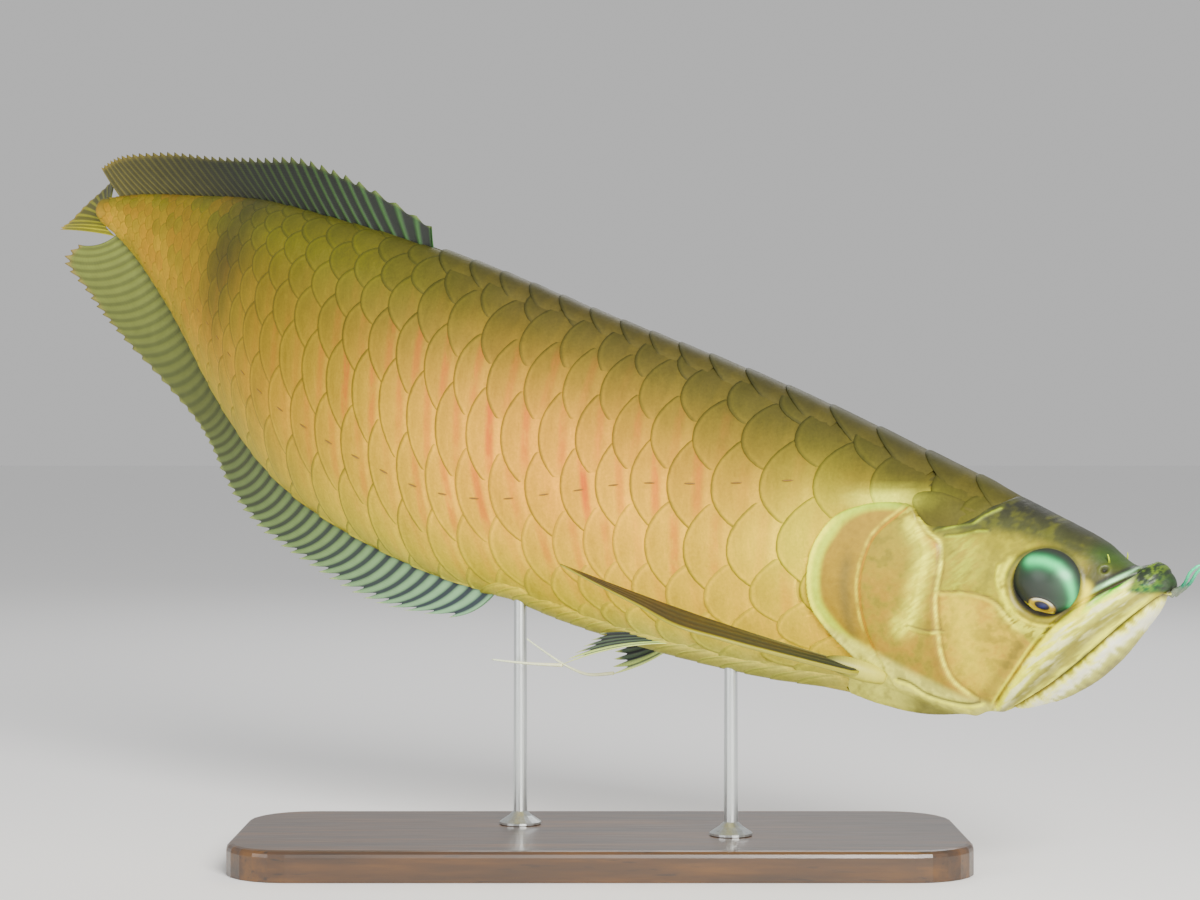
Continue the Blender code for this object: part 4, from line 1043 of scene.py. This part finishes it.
def fin_sheet(
    name, roots, tips, across, bow, notch, ray_width, ray_half, web_half, ray_paint, web_paint, tip_paint
):
    """A closed sheet through rays. The looks from bow to ray_half are numbers, or functions of t, which runs
    from 0 at the first ray to 1 at the last; the paints are stops along t."""
    rays = len(roots)
    line = np.linspace(0, rays - 1, (rays - 1) * BETWEEN_RAYS + 1)
    low = np.clip(line.astype(int), 0, rays - 2)
    part = (line - low)[:, None]
    root, tip, side = (ends[low] * (1 - part) + ends[low + 1] * part for ends in (roots, tips, across))
    side /= np.linalg.norm(side, axis=-1, keepdims=True)
    off = np.abs(line - np.round(line))
    t = line / (rays - 1)
    bow, notch, ray_width, ray_half = (
        look(t) if callable(look) else np.full(t.shape, look) for look in (bow, notch, ray_width, ray_half)
    )
    reach = 1 - notch * np.clip(off / 0.42, 0, 1) ** 1.1
    r = np.linspace(0, 1, RAY_STEPS)
    run = tip - root
    bend = np.cross(side, run)
    length = np.linalg.norm(run, axis=-1, keepdims=True)
    bend = bend / (np.linalg.norm(bend, axis=-1, keepdims=True) + 1e-9) * length
    share = r[None] * reach[:, None]
    ray = bump(off, ray_width)[:, None]
    half = web_half + ray_half[:, None] * ray * (1 - 0.72 * share)
    half = half * np.where(r[None] > 0.995, 0.30, 1)
    arch = bow[:, None] * 4 * share * (1 - share)
    middle = root[:, None] + run[:, None] * share[..., None] + bend[:, None] * arch[..., None]
    front, rear = middle + side[:, None] * half[..., None], middle - side[:, None] * half[..., None]
    rings = np.concatenate([front, rear[:, ::-1]], 1)
    count, steps = len(line), 2 * RAY_STEPS
    index = np.arange(count * steps).reshape(count, steps)
    quads = ring_quads(index)
    lead = np.cross(rings[0, 1] - rings[0, 0], rings[1, 0] - rings[0, 0])
    if lead @ side[0] > 0:
        quads = quads[:, ::-1]
    j = np.arange(RAY_STEPS - 1)
    caps = []
    for ring, turned in ((index[0], False), (index[-1], True)):
        cap = np.stack([ring[j], ring[j + 1], ring[steps - 2 - j], ring[steps - 1 - j]], -1)
        caps.append(cap[:, ::-1] if turned != (lead @ side[0] > 0) else cap)
    faces = quads.tolist() + np.vstack(caps).tolist()
    mask = (1 - ease((off - ray_width * 0.65) / (ray_width * 0.60 + 0.02)))[:, None, None]
    ray_colour, web_colour, tip_colour = (
        graded(stops, t)[:, None] for stops in (ray_paint, web_paint, tip_paint)
    )
    colour = web_colour * (1 - mask) + ray_colour * mask
    end = ease((share - 0.86) / 0.12)[..., None]
    colour = colour * (1 - end) + tip_colour * end
    colour = np.concatenate([colour, colour[:, ::-1]], 1)
    ray_map = np.stack(np.broadcast_arrays(line[:, None], np.concatenate([share, share[:, ::-1]], 1)), -1)
    return mesh_piece(name, rings, faces, with_share(colour), maps={"rays": ray_map})


def fin_finish(name):
    """Painted skin with faint joints across the rays."""
    made = Finish(name, Coat_Weight=0.07, Coat_Roughness=0.25, Specular_IOR_Level=0.28)
    where = made.place()
    cloud = made.noise(160, 4.0, where)
    joints = made.node("Math", {"operation": "SINE"}, {0: made.map("rays", 1) * 150.0})
    marks = made.between(joints, 0.55, 0.95) * made.between(made.map("rays", 1), 0.25, 0.5)
    made.set("Base Color", made.shade(made.tint(), 0.84 + cloud * 0.34 - marks * 0.10))
    made.set("Roughness", 0.38 + 0.2 * cloud)
    made.relief(cloud * 0.5 + joints * 0.08, 0.0004, 0.4)
    return made


def ray_shares(base, rays):
    """Where the rays stand along the base, closer together towards the tail."""
    t = np.linspace(0, 1, rays)
    return base[0] + (base[1] - base[0]) * t * (1 + RAY_CROWDING * (1 - t))


def median_fin(name, base, rays, outline, sign, back, out, **looks):
    """A fin in the middle plane; back and out say how far each ray's tip lies behind and beyond its root."""
    s = ray_shares(base, rays)
    edge = sign * smooth(outline, s)
    roots = place(s, edge - sign * ROOT_IN, 0)
    tips = place(s + smooth(back, s), edge + sign * smooth(out, s), 0)
    fin = fin_sheet(name, roots, tips, axes(s)[2], **looks)
    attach(fin, "root")
    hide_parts(name.replace("_rayed", ""))
    return fin


finish = fin_finish("fin_skin")
dorsal = median_fin(
    "dorsal_fin_rayed", DORSAL_BASE, DORSAL_RAYS, BACK, 1, DORSAL_BACK, DORSAL_OUT,
    bow=0.02,
    notch=lambda t: 0.12 - 0.07 * t,
    ray_width=lambda t: 0.12 + 0.03 * t,
    ray_half=0.00042,
    web_half=0.00011,
    ray_paint=[(0, (98, 136, 88)), (0.3, (88, 112, 62)), (0.5, (92, 96, 50)), (1, (138, 126, 82))],
    web_paint=[(0, (38, 62, 30)), (0.35, (46, 62, 26)), (0.50, (66, 70, 32)), (1, (112, 104, 62))],
    tip_paint=[(0, (140, 150, 108)), (0.4, (120, 118, 76)), (1, (164, 144, 104))],
)
anal = median_fin(
    "anal_fin_rayed", ANAL_BASE, ANAL_RAYS, BELLY, -1, ANAL_BACK, ANAL_OUT,
    bow=0.11,
    notch=lambda t: 0.30 - 0.22 * ease(t / 0.6),
    ray_width=0.28,
    ray_half=0.00060,
    web_half=0.00011,
    ray_paint=[(0, (162, 184, 162)), (0.25, (146, 160, 124)), (0.6, (132, 134, 92)), (1, (154, 156, 112))],
    web_paint=[(0, (66, 88, 102)), (0.25, (84, 98, 84)), (0.5, (108, 112, 74)), (1, (136, 138, 94))],
    tip_paint=[(0, (212, 214, 184)), (0.4, (186, 188, 148)), (0.8, (166, 154, 114)), (1, (186, 160, 130))],
)
for piece in (dorsal, anal):
    finish.on(piece)

# ---------------------------------------------------------------- the tail fin
# A small fan whose upper rays curl away to the left; the upper rays are painted darker, as painted shade
# under the dorsal fin.
TAIL_FIN_ROOT = [(0, 0.968), (0.7, 0.968), (0.88, 0.963), (1, 0.953)]
TAIL_FIN_HEIGHT = (0.0165, -0.0105)
TAIL_FIN_LENGTH = [(0, 0.036), (0.5, 0.044), (1, 0.052)]
TAIL_FIN_RISE_DEG = [(0, 34), (0.5, 2), (0.8, -17), (1, -14)]
TAIL_FIN_CURL_DEG, TAIL_FIN_CURL_POWER = 58, 1.7


def tail_fan():
    """The tail fin, rays from the top down."""
    t = np.linspace(0, 1, TAIL_RAYS)
    ahead, up, right = axes(np.array(TAIL_FIN_ROOT[-1][1]))
    rise = np.radians(smooth(TAIL_FIN_RISE_DEG, t))[:, None]
    curl = np.radians(TAIL_FIN_CURL_DEG * (1 - t**TAIL_FIN_CURL_POWER))[:, None]
    level = -ahead * np.cos(curl) - right * np.sin(curl)
    height = TAIL_FIN_HEIGHT[0] + (TAIL_FIN_HEIGHT[1] - TAIL_FIN_HEIGHT[0]) * t
    root = place(smooth(TAIL_FIN_ROOT, t), height, 0)
    tips = root + (level * np.cos(rise) + up * np.sin(rise)) * (smooth(TAIL_FIN_LENGTH, t) * LENGTH)[:, None]
    across = np.cross(level, up)
    return fin_sheet(
        "tail_fin_rayed", root + ahead * 0.004, tips, across,
        bow=0.02,
        notch=0.05,
        ray_width=0.18,
        ray_half=0.00036,
        web_half=0.00012,
        # paler from the upper rays down: the darker upper rays are painted shade
        ray_paint=[(0, (120, 120, 70)), (0.6, (170, 164, 104)), (1, (196, 184, 124))],
        web_paint=[(0, (84, 86, 50)), (0.6, (128, 122, 70)), (1, (158, 150, 92))],
        tip_paint=[(0, (150, 144, 96)), (1, (206, 180, 134))],
    )


tail = tail_fan()
finish.on(tail)
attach(tail, "root")
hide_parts("tail_fin")

# ---------------------------------------------------------------- the pectoral fins
# A long stiff sickle swept back from the throat on each side: one thick leading ray, turned down, and
# finer rays behind it that run out to the tip one after another.
PECTORAL_ROOT = (0.184, -0.0680)
PECTORAL_LENGTH, PECTORAL_CHORD = 0.141, 0.023
PECTORAL_WIDTH = [(0, 0.50), (0.2, 0.66), (0.45, 0.90), (0.60, 1.0), (0.72, 0.66), (0.86, 0.36), (1, 0.05)]
PECTORAL_OUT_DEG, PECTORAL_LIFT_DEG, PECTORAL_TILT_DEG = 27, 2, 7
PECTORAL_BOW = 0.005
PECTORAL_RAYS = 4
PECTORAL_STEPS, PECTORAL_ACROSS, PECTORAL_IN = 70, 57, 0.03  # points, and the share of it inside the flesh
LOBE_STEPS, LOBE_SIDES, LOBE_RADIUS = 26, 20, 0.0046


def tube(name, line, radii, colours, sides=12):
    """A round thread along a line of points, closed at both ends."""
    line = np.asarray(line)
    along = np.gradient(line, axis=0)
    along /= np.linalg.norm(along, axis=-1, keepdims=True)
    side = np.cross(along, (0, 0, 1.0))
    side /= np.linalg.norm(side, axis=-1, keepdims=True)
    lift = np.cross(side, along)
    turn = np.linspace(0, 2 * math.pi, sides + 1)[:-1]
    spoke = side[:, None] * np.cos(turn)[None, :, None] + lift[:, None] * np.sin(turn)[None, :, None]
    rings = line[:, None] + spoke * np.asarray(radii)[:, None, None]
    index = np.arange(len(line) * sides).reshape(len(line), sides)
    faces = ring_quads(index).tolist()
    faces += [index[0].tolist()[::-1], index[-1].tolist()]
    paints = np.repeat(np.asarray(colours)[:, None], sides, 1)
    ray_map = np.stack([np.zeros(len(line)), np.linspace(0, 1, len(line))], -1)
    maps = {"rays": np.repeat(ray_map[:, None], sides, 1)}
    return outward(mesh_piece(name, rings, faces, with_share(paints), maps=maps))


def half_width(s, v):
    """The flesh's half width at one height of one section, as a share of the length."""
    middle = smooth(WIDEST, s)
    reach = smooth(BACK, s) - middle if v > middle else smooth(BELLY, s) + middle
    side = math.sqrt(max(0.0, 1 - ((v - middle) / reach) ** 2))
    return smooth(HALF_WIDTH, s) * side ** (BACK_ROUNDNESS if v > middle else BELLY_KEEL)


def pectoral(side, sign):
    """One pectoral fin and the fleshy lobe at its root."""
    s, v = PECTORAL_ROOT
    ahead, up, right = axes(np.array(s))
    out = right * sign
    sweep, tilt = math.radians(PECTORAL_OUT_DEG), math.radians(PECTORAL_TILT_DEG)
    along = -ahead * math.cos(sweep) + out * math.sin(sweep) + up * math.tan(math.radians(PECTORAL_LIFT_DEG))
    along /= np.linalg.norm(along)
    chord = (ahead * math.sin(sweep) + out * math.cos(sweep)) * math.cos(tilt) - up * math.sin(tilt)
    normal = np.cross(along, chord)
    normal /= np.linalg.norm(normal)
    start = place(s, v, sign * half_width(s, v)) + out * 0.0028
    t = np.linspace(-PECTORAL_IN, 1, PECTORAL_STEPS)
    x = np.linspace(0, 1, PECTORAL_ACROSS)
    width = PECTORAL_CHORD * smooth(PECTORAL_WIDTH, np.clip(t, 0, 1))
    width = width * (0.45 + 0.55 * ease((t + 0.03) / 0.06))
    line = start + along * (PECTORAL_LENGTH * t)[:, None] + chord * (4 * PECTORAL_BOW * t * (1 - t))[:, None]
    line = line - out * (0.0050 * ease((0.035 - t) / 0.065))[:, None]
    middle = line[:, None] + chord * (width[:, None] * x[None])[..., None]
    leading = x[None] ** 6
    rays = 0.5 + 0.5 * np.cos(2 * math.pi * PECTORAL_RAYS * x[None] ** (1 + 0.25 * t[:, None]))
    half = (0.0009 - 0.0006 * t[:, None]) * (0.45 + 0.25 * rays + 0.75 * leading)
    half = half * (0.25 + 0.75 * np.minimum(1, np.minimum(x / 0.03, (1 - x) / 0.03)))[None]
    dip = normal * (0.0012 * np.sin(math.pi * x)[None] * (1 - t[:, None]))[..., None]
    top, under = middle + dip + normal * half[..., None], middle + dip - normal * half[..., None]
    rings = np.concatenate([top, under[:, ::-1]], 1)
    rows, columns = rings.shape[:2]
    index = np.arange(rows * columns).reshape(rows, columns)
    faces = ring_quads(index).tolist() + [index[0].tolist()[::-1], index[-1].tolist()]
    shape = (rows, len(x))
    coat = plain(shape, (44, 56, 42))
    coat = painted(
        coat,
        ((88, 98, 74), 0.6 * rays),
        ((172, 160, 100), ease((x[None] - 0.88) / 0.10)),
        ((150, 156, 130), ease((0.45 - t[:, None]) / 0.3) * ease((0.30 - x[None]) / 0.2) * 0.6),
        ((186, 166, 112), ease((t[:, None] - 0.90) / 0.1) * 0.5),
    )
    lower = paint(coat, (190, 180, 140), 0.5)
    colours = np.concatenate([coat, lower[:, ::-1]], 1)
    both = np.concatenate([x, x[::-1]])
    ray_map = np.stack(np.broadcast_arrays(both[None] * PECTORAL_RAYS, 0 * t[:, None]), -1)
    fin = mesh_piece("pectoral_rayed_" + side, rings, faces, with_share(colours), maps={"rays": ray_map})
    r = np.linspace(0, 1, LOBE_STEPS)
    lobe = start - along * 0.009 - out * 0.0052 + chord * 0.0065
    lobe = lobe + along * (0.026 * r)[:, None] + out * (0.0052 * r)[:, None]
    radii = LOBE_RADIUS * np.sqrt(np.clip(1 - (2 * r - 0.86) ** 2 / 1.32, 0.004, 1))
    shades = graded([(0, (206, 194, 146)), (0.5, (204, 194, 148)), (1, (112, 108, 68))], r)
    return outward(fin), tube("pectoral_root_" + side, lobe, radii, shades, LOBE_SIDES)


def outward(obj):
    """Turns a closed piece's faces outwards."""
    bpy.ops.object.select_all(action="DESELECT")
    obj.select_set(True)
    bpy.context.view_layer.objects.active = obj
    bpy.ops.object.mode_set(mode="EDIT")
    bpy.ops.mesh.select_all(action="SELECT")
    bpy.ops.mesh.normals_make_consistent(inside=False)
    bpy.ops.object.mode_set(mode="OBJECT")
    obj.select_set(False)
    return obj


for side, sign in SIDES:
    for piece in pectoral(side, sign):
        finish.on(piece)
        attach(piece, "root")
        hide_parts("pectoral_fin_" + side)

# ---------------------------------------------------------------- the pelvic fins
# Two small fans folded back under the belly. The outermost ray of each runs on as a long soft thread.
PELVIC_ROOT, PELVIC_BASE, PELVIC_RAYS = (0.330, -0.1125, 0.0118), 0.011, 6
PELVIC_REACH = {"right": (0.0445, 0.022), "left": (0.031, 0.021)}
PELVIC_DROP = {"right": (0.0245, 0.0045), "left": (0.0265, 0.007)}
PELVIC_SPREAD = (0.010, 0.003)
FILAMENT_BACK = {"right": 0.037, "left": 0.047}
FILAMENT_DROP = {
    "right": [(0, 0), (0.4, 0.0052), (0.75, 0.0092), (1, 0.0118)],
    "left": [(0, 0), (0.25, 0.0050), (0.5, 0.0048), (0.75, 0.0022), (1, -0.0010)],
}
FILAMENT_IN, FILAMENT_RADIUS, FILAMENT_STEPS = 0.006, 0.00085, 40
PELVIC_SUNK, PELVIC_INWARD = 0.0028, 0.001  # how far the rays' roots lie in the flesh


def pelvic(side, sign):
    """One pelvic fan and its thread."""
    s, v, w = PELVIC_ROOT
    ahead, up, right = axes(np.array(s))
    out = right * sign
    t = np.linspace(0, 1, PELVIC_RAYS)[:, None]
    roots = place(s, v, sign * w) - ahead * (PELVIC_BASE * t) + up * PELVIC_SUNK - out * PELVIC_INWARD
    ranges = PELVIC_REACH[side], PELVIC_DROP[side], PELVIC_SPREAD
    reach, drop, spread = (a + (b - a) * t for a, b in ranges)
    tips = roots - up * PELVIC_SUNK + out * PELVIC_INWARD - ahead * reach - up * drop + out * spread
    across = np.cross(tips[0] - roots[0], tips[-1] - roots[-1])
    fan = fin_sheet(
        "pelvic_rayed_" + side, roots, tips, np.repeat(across[None] / np.linalg.norm(across), PELVIC_RAYS, 0),
        bow=sign * 0.05,
        notch=0.22,
        ray_width=lambda t: 0.36 - 0.16 * t,
        ray_half=lambda t: 0.00095 - 0.0005 * t,
        web_half=0.00010,
        ray_paint=[(0, (236, 236, 200)), (0.16, (214, 218, 178)), (0.3, (122, 134, 116)), (1, (92, 102, 90))],
        web_paint=[(0, (150, 160, 138)), (0.2, (74, 88, 90)), (0.4, (50, 64, 72)), (1, (46, 58, 62))],
        tip_paint=[(0, (240, 240, 196)), (1, (216, 218, 186))],
    )
    r = np.linspace(0, 1, FILAMENT_STEPS)[:, None]
    start = tips[0] - (tips[0] - roots[0]) * 0.03
    drop = smooth(FILAMENT_DROP[side], r)
    line = start - ahead * (FILAMENT_BACK[side] * r) - out * (FILAMENT_IN * r) - up * drop
    shades = graded([(0, (244, 240, 220)), (1, (236, 232, 222))], r[:, 0])
    thread = tube("pelvic_thread_" + side, line, FILAMENT_RADIUS * (1 - 0.55 * r[:, 0]), shades)
    return outward(fan), thread


for side, sign in SIDES:
    fan, thread = pelvic(side, sign)
    for piece, node in ((fan, "pelvic_fin_" + side), (thread, "pelvic_filament_" + side)):
        finish.on(piece)
        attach(piece, "root")
        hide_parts(node)

# ---------------------------------------------------------------- the barbels
# Two soft feelers on the chin, teal, each in a grey sheath at its root.
BARBEL_ROOT = (0.005, 0.0532, 0.0040)
BARBEL_AHEAD, BARBEL_RISE, BARBEL_OUT, BARBEL_SWAY = 0.0074, 0.0147, 0.0030, 0.12
BARBEL_RADIUS, BARBEL_STEPS, BARBEL_IN = 0.00105, 44, 0.16
BARBEL_PAINTS = [(0, (150, 150, 140)), (0.16, (132, 142, 128)), (0.26, (70, 150, 122))]
BARBEL_PAINTS += [(0.7, (104, 200, 164)), (1, (150, 222, 190))]
for side, sign in SIDES:
    s, v, w = BARBEL_ROOT
    ahead, up, right = axes(np.array(s))
    t = np.linspace(-BARBEL_IN, 1, BARBEL_STEPS)[:, None]
    sway = BARBEL_SWAY * np.sin(2 * math.pi * np.clip(t, 0, 1))
    line = place(s, v, sign * w) + ahead * (0.0014 + BARBEL_AHEAD * (t + sway))
    line = line + right * (sign * BARBEL_OUT * t) + up * (BARBEL_RISE * t)
    t = np.clip(t[:, 0], 0, 1)
    radii = BARBEL_RADIUS * (1.25 - 0.45 * ease(t / 0.25) - 0.30 * t + 0.05 * np.sin(50 * t))
    radii *= np.where(t > 0.97, 0.7, 1)
    barbel = tube("feeler_" + side, line, radii, graded(BARBEL_PAINTS, t))
    finish.on(barbel)
    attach(barbel, "root")
    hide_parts("barbel_" + side)

# ---------------------------------------------------------------- the nostrils
# Ahead of each eye a dark hole with a low rim, and above it a small pale spike of skin.
SPIKE_RADIUS, SPIKE_RISE, SPIKE_OUT, SPIKE_BACK = 0.00062, 0.0036, 0.0016, 0.0012
for side, sign in SIDES:
    s, v = NOSTRIL[0] + 0.0004, NOSTRIL[1] + 0.0042
    ahead, up, right = axes(np.array(s))
    t = np.linspace(0, 1, 12)[:, None]
    base = place(s, v, sign * (half_width(s, v) - 0.001))
    line = base + up * (SPIKE_RISE * t) + right * (sign * SPIKE_OUT * t) - ahead * (SPIKE_BACK * t**2)
    shades = graded([(0, (112, 128, 60)), (1, (216, 220, 160))], t[:, 0])
    spike = tube("nostril_spike_" + side, line, SPIKE_RADIUS * (1 - 0.75 * t[:, 0]), shades)
    finish.on(spike)
    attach(spike, "root")

# ---------------------------------------------------------------- the eyes
# A bulging, clear-coated ball that looks down: dark green with a painted mint highlight above, and at its
# lower edge the blue pupil in a gold ring.
EYE_RADII, EYE_CENTRE_OUT = (0.0174, 0.0144, 0.0128), 0.0134
EYE_SEGMENTS, EYE_RINGS = 192, 128
IRIS_LOOK, IRIS_DEG, PUPIL_DEG = (0.17, -0.735, 0.656), 20.0, 12.6
# the line of the painted mint highlight, as directions ahead, up and out from the eye's middle
EYE_HIGHLIGHT = [(-0.426, 0.477, 0.769), (-0.10, 0.60, 0.79), (0.255, 0.595, 0.762), (0.528, 0.438, 0.727)]
EYE_HIGHLIGHT += [(0.72, 0.16, 0.67), (0.828, -0.156, 0.538), (0.80, -0.42, 0.43)]


def eye_ball(side, sign):
    """One eye, painted by the way each of its points looks: ahead, up and out."""
    bpy.ops.object.select_all(action="DESELECT")
    bpy.ops.mesh.primitive_uv_sphere_add(segments=EYE_SEGMENTS, ring_count=EYE_RINGS, radius=1)
    ball = bpy.context.active_object
    ball.name = ball.data.name = "eyeball_" + side
    look = np.empty(len(ball.data.vertices) * 3)
    ball.data.vertices.foreach_get("co", look)
    look = look.reshape(-1, 3)
    s, v = EYE_PLACE
    ahead, up, right = axes(np.array(s))
    iris = np.array(IRIS_LOOK) / np.linalg.norm(IRIS_LOOK)
    angle = np.degrees(np.arccos(np.clip(look @ iris, -1, 1)))
    dent = 1 - 0.035 * ease((IRIS_DEG + 1 - angle) / 3) + 0.025 * bump(angle - IRIS_DEG - 2, 2.2)
    centre = place(s, v, sign * EYE_CENTRE_OUT / LENGTH)
    shape = (look * dent[:, None] * EYE_RADII) @ np.array([ahead, up, right * sign]) + centre
    ball.data.vertices.foreach_set("co", shape.ravel())
    line = np.array(EYE_HIGHLIGHT)
    line /= np.linalg.norm(line, axis=-1, keepdims=True)
    gap, along = np.full(len(look), FAR), np.zeros(len(look))
    for k, (a, b) in enumerate(zip(line, line[1:])):
        d = b - a
        t = np.clip((look - a) @ d / (d @ d), 0, 1)
        here = np.linalg.norm(look - a - t[:, None] * d, axis=-1)
        along = np.where(here < gap, (k + t) / (len(line) - 1), along)
        gap = np.minimum(gap, here)
    coat = plain(gap.shape, (40, 78, 44))
    # a soft green glow round the painted highlight, on the outward side
    coat = paint(coat, (60, 126, 84), 0.70 * bump(gap, 0.38) * ease((look[:, 2] - 0.1) / 0.3))
    coat = paint(coat, (46, 50, 28), ease((0.62 - look[:, 2]) / 0.30) * ease((look[:, 1] - 0.1) / 0.4) * 0.7)
    # the painted mint highlight itself
    painted_highlight = bump(gap, 0.10 + 0.09 * (1 - along)) * (1 - 0.5 * along)
    coat = paint(coat, (160, 230, 184), 0.85 * painted_highlight)
    gold = ease((IRIS_DEG + 0.8 - angle) / 2.6)
    coat = paint(coat, (58, 48, 26), 0.8 * bump(angle - IRIS_DEG - 1.5, 2.0))
    beneath = ease((iris[1] * 1.02 - look[:, 1]) / 0.05) * ease((IRIS_DEG + 13 - angle) / 6)
    coat = paint(coat, (214, 198, 112), 0.85 * beneath)
    coat = paint(coat, (216, 190, 92), gold)
    upper = ease((look - iris * np.cos(np.radians(angle))[:, None])[:, 1] / 0.16)
    coat = paint(coat, (250, 248, 236), gold * upper * bump(angle - PUPIL_DEG - 4.5, 3.0))
    corner = (look - iris)[:, 0] / 0.3 - (look - iris)[:, 1] / 0.3
    bronze = ease((corner - 0.25) / 0.4) * ease((angle - PUPIL_DEG) / 3)
    coat = paint(coat, (204, 160, 80), gold * 0.45 * bronze)
    pupil = ease((PUPIL_DEG + 0.8 - angle) / 2.6)
    coat = paint(coat, (26, 26, 38), pupil)
    coat = paint(coat, (70, 84, 190), pupil * 0.95 * bump(corner - 0.02, 0.42) * bump(angle, 9))
    tints = ball.data.color_attributes.new("tint", "FLOAT_COLOR", "POINT")
    tints.data.foreach_set("color", with_share(coat).astype(np.float32).ravel())
    ball.data.shade_smooth()
    return outward(ball)


finish = Finish("clear_eye", Coat_Weight=0.20, Coat_Roughness=0.22)
cloud = finish.noise(260, 3.0)
finish.set("Base Color", finish.shade(finish.tint(), 0.88 + cloud * 0.24))
finish.set("Roughness", 0.36 + 0.14 * cloud)
for side, sign in SIDES:
    ball = eye_ball(side, sign)
    finish.on(ball)
    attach(ball, "root")
    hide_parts("eye_" + side)

# ---------------------------------------------------------------- the stand
# A lacquered walnut board with rounded corners, and two brushed steel rods, each in a turned foot.
finish = Finish("walnut", Coat_Weight=0.35, Coat_Roughness=0.15)
fibre = finish.stretched(finish.place(), (5.0, 90.0, 60.0))
bands = finish.noise(1.6, 5.0, fibre, 0.6)
pore = finish.noise(9.0, 3.0, fibre)
stops = [(0.30, (92, 64, 44)), (0.52, (126, 86, 58)), (0.72, (152, 108, 74))]
stops = [(mark, tuple(rgb(*colour))) for mark, colour in stops]
colour = finish.node("ValToRGB", {"stops": stops}, {0: bands})
finish.set("Base Color", finish.mix(finish.between(pore, 0.62, 0.70) * 0.6, colour, (66, 46, 34)))
finish.set("Roughness", 0.30 + 0.18 * pore)
finish.relief(bands * 0.6 + pore * 0.4, 0.0003, 0.4)
finish.on(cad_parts["stand_base"])
finish = Finish("brushed_steel", Metallic=1.0)
hair = finish.noise(14.0, 4.0, finish.stretched(finish.place(), (60.0, 60.0, 1.2)))
finish.set("Base Color", finish.mix(hair, (206, 199, 205), (236, 230, 235)))
finish.set("Roughness", 0.22 + 0.20 * hair)
finish.relief(hair, 0.0001, 0.3)
for name in ("stand_rod_front", "stand_rod_rear"):
    finish.on(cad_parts[name])

# ---------------------------------------------------------------- the floor, the light and the camera
# A plain pale studio floor under a pale sky, one large soft lamp ahead and above, and two fills.
FLOOR_SIZE, FLOOR_GAP = 60, 0.0002
bpy.ops.object.select_all(action="DESELECT")
bpy.ops.mesh.primitive_plane_add(size=FLOOR_SIZE, location=(0, 0, -FLOOR_GAP))
floor = bpy.context.active_object
floor.name = "floor"
finish = Finish("pale_floor", Specular_IOR_Level=0.2)
finish.set("Base Color", finish.mix(finish.noise(3.0), (246, 236, 243), (250, 240, 247)))
finish.set("Roughness", 0.85 + 0.1 * finish.noise(40.0))
finish.on(floor)

SKY_COLOUR, SKY_STRENGTH = (0.80, 0.80, 0.80), 0.72
world = bpy.context.scene.world or bpy.data.worlds.new("sky")
bpy.context.scene.world = world
world.use_nodes = True
sky = world.node_tree.nodes["Background"]
sky.inputs["Color"].default_value = (*SKY_COLOUR, 1)
sky.inputs["Strength"].default_value = SKY_STRENGTH


def lamp(name, at, to, size, watts, colour=(1, 1, 1)):
    """A round soft lamp that shines from one point towards another."""
    data = bpy.data.lights.new(name, "AREA")
    data.shape, data.size, data.energy, data.color = "DISK", size, watts, colour
    obj = bpy.data.objects.new(name, data)
    obj.location = at
    obj.rotation_euler = (Vector(to) - Vector(at)).to_track_quat("-Z", "Y").to_euler()
    bpy.context.scene.collection.objects.link(obj)


lamp("key", (0.55, -1.7, 0.95), (0.0, 0.0, 0.18), 0.9, 80, (1.0, 0.97, 0.92))
lamp("fill", (-1.3, -1.1, 0.6), (-0.05, 0.0, 0.2), 1.0, 10)
lamp("rear", (0.3, 1.5, 1.3), (0.0, 0.0, 0.2), 1.0, 8)

lens = bpy.data.cameras.new("camera")
lens.lens, lens.sensor_width, lens.sensor_fit = 76.8, 36, "HORIZONTAL"
lens.clip_start, lens.clip_end = 0.01, 100
camera = bpy.data.objects.new("camera", lens)
camera.location, camera.rotation_euler = (0, -1.2, 0.192), (math.pi / 2, 0, 0)
bpy.context.scene.collection.objects.link(camera)
bpy.context.scene.camera = camera
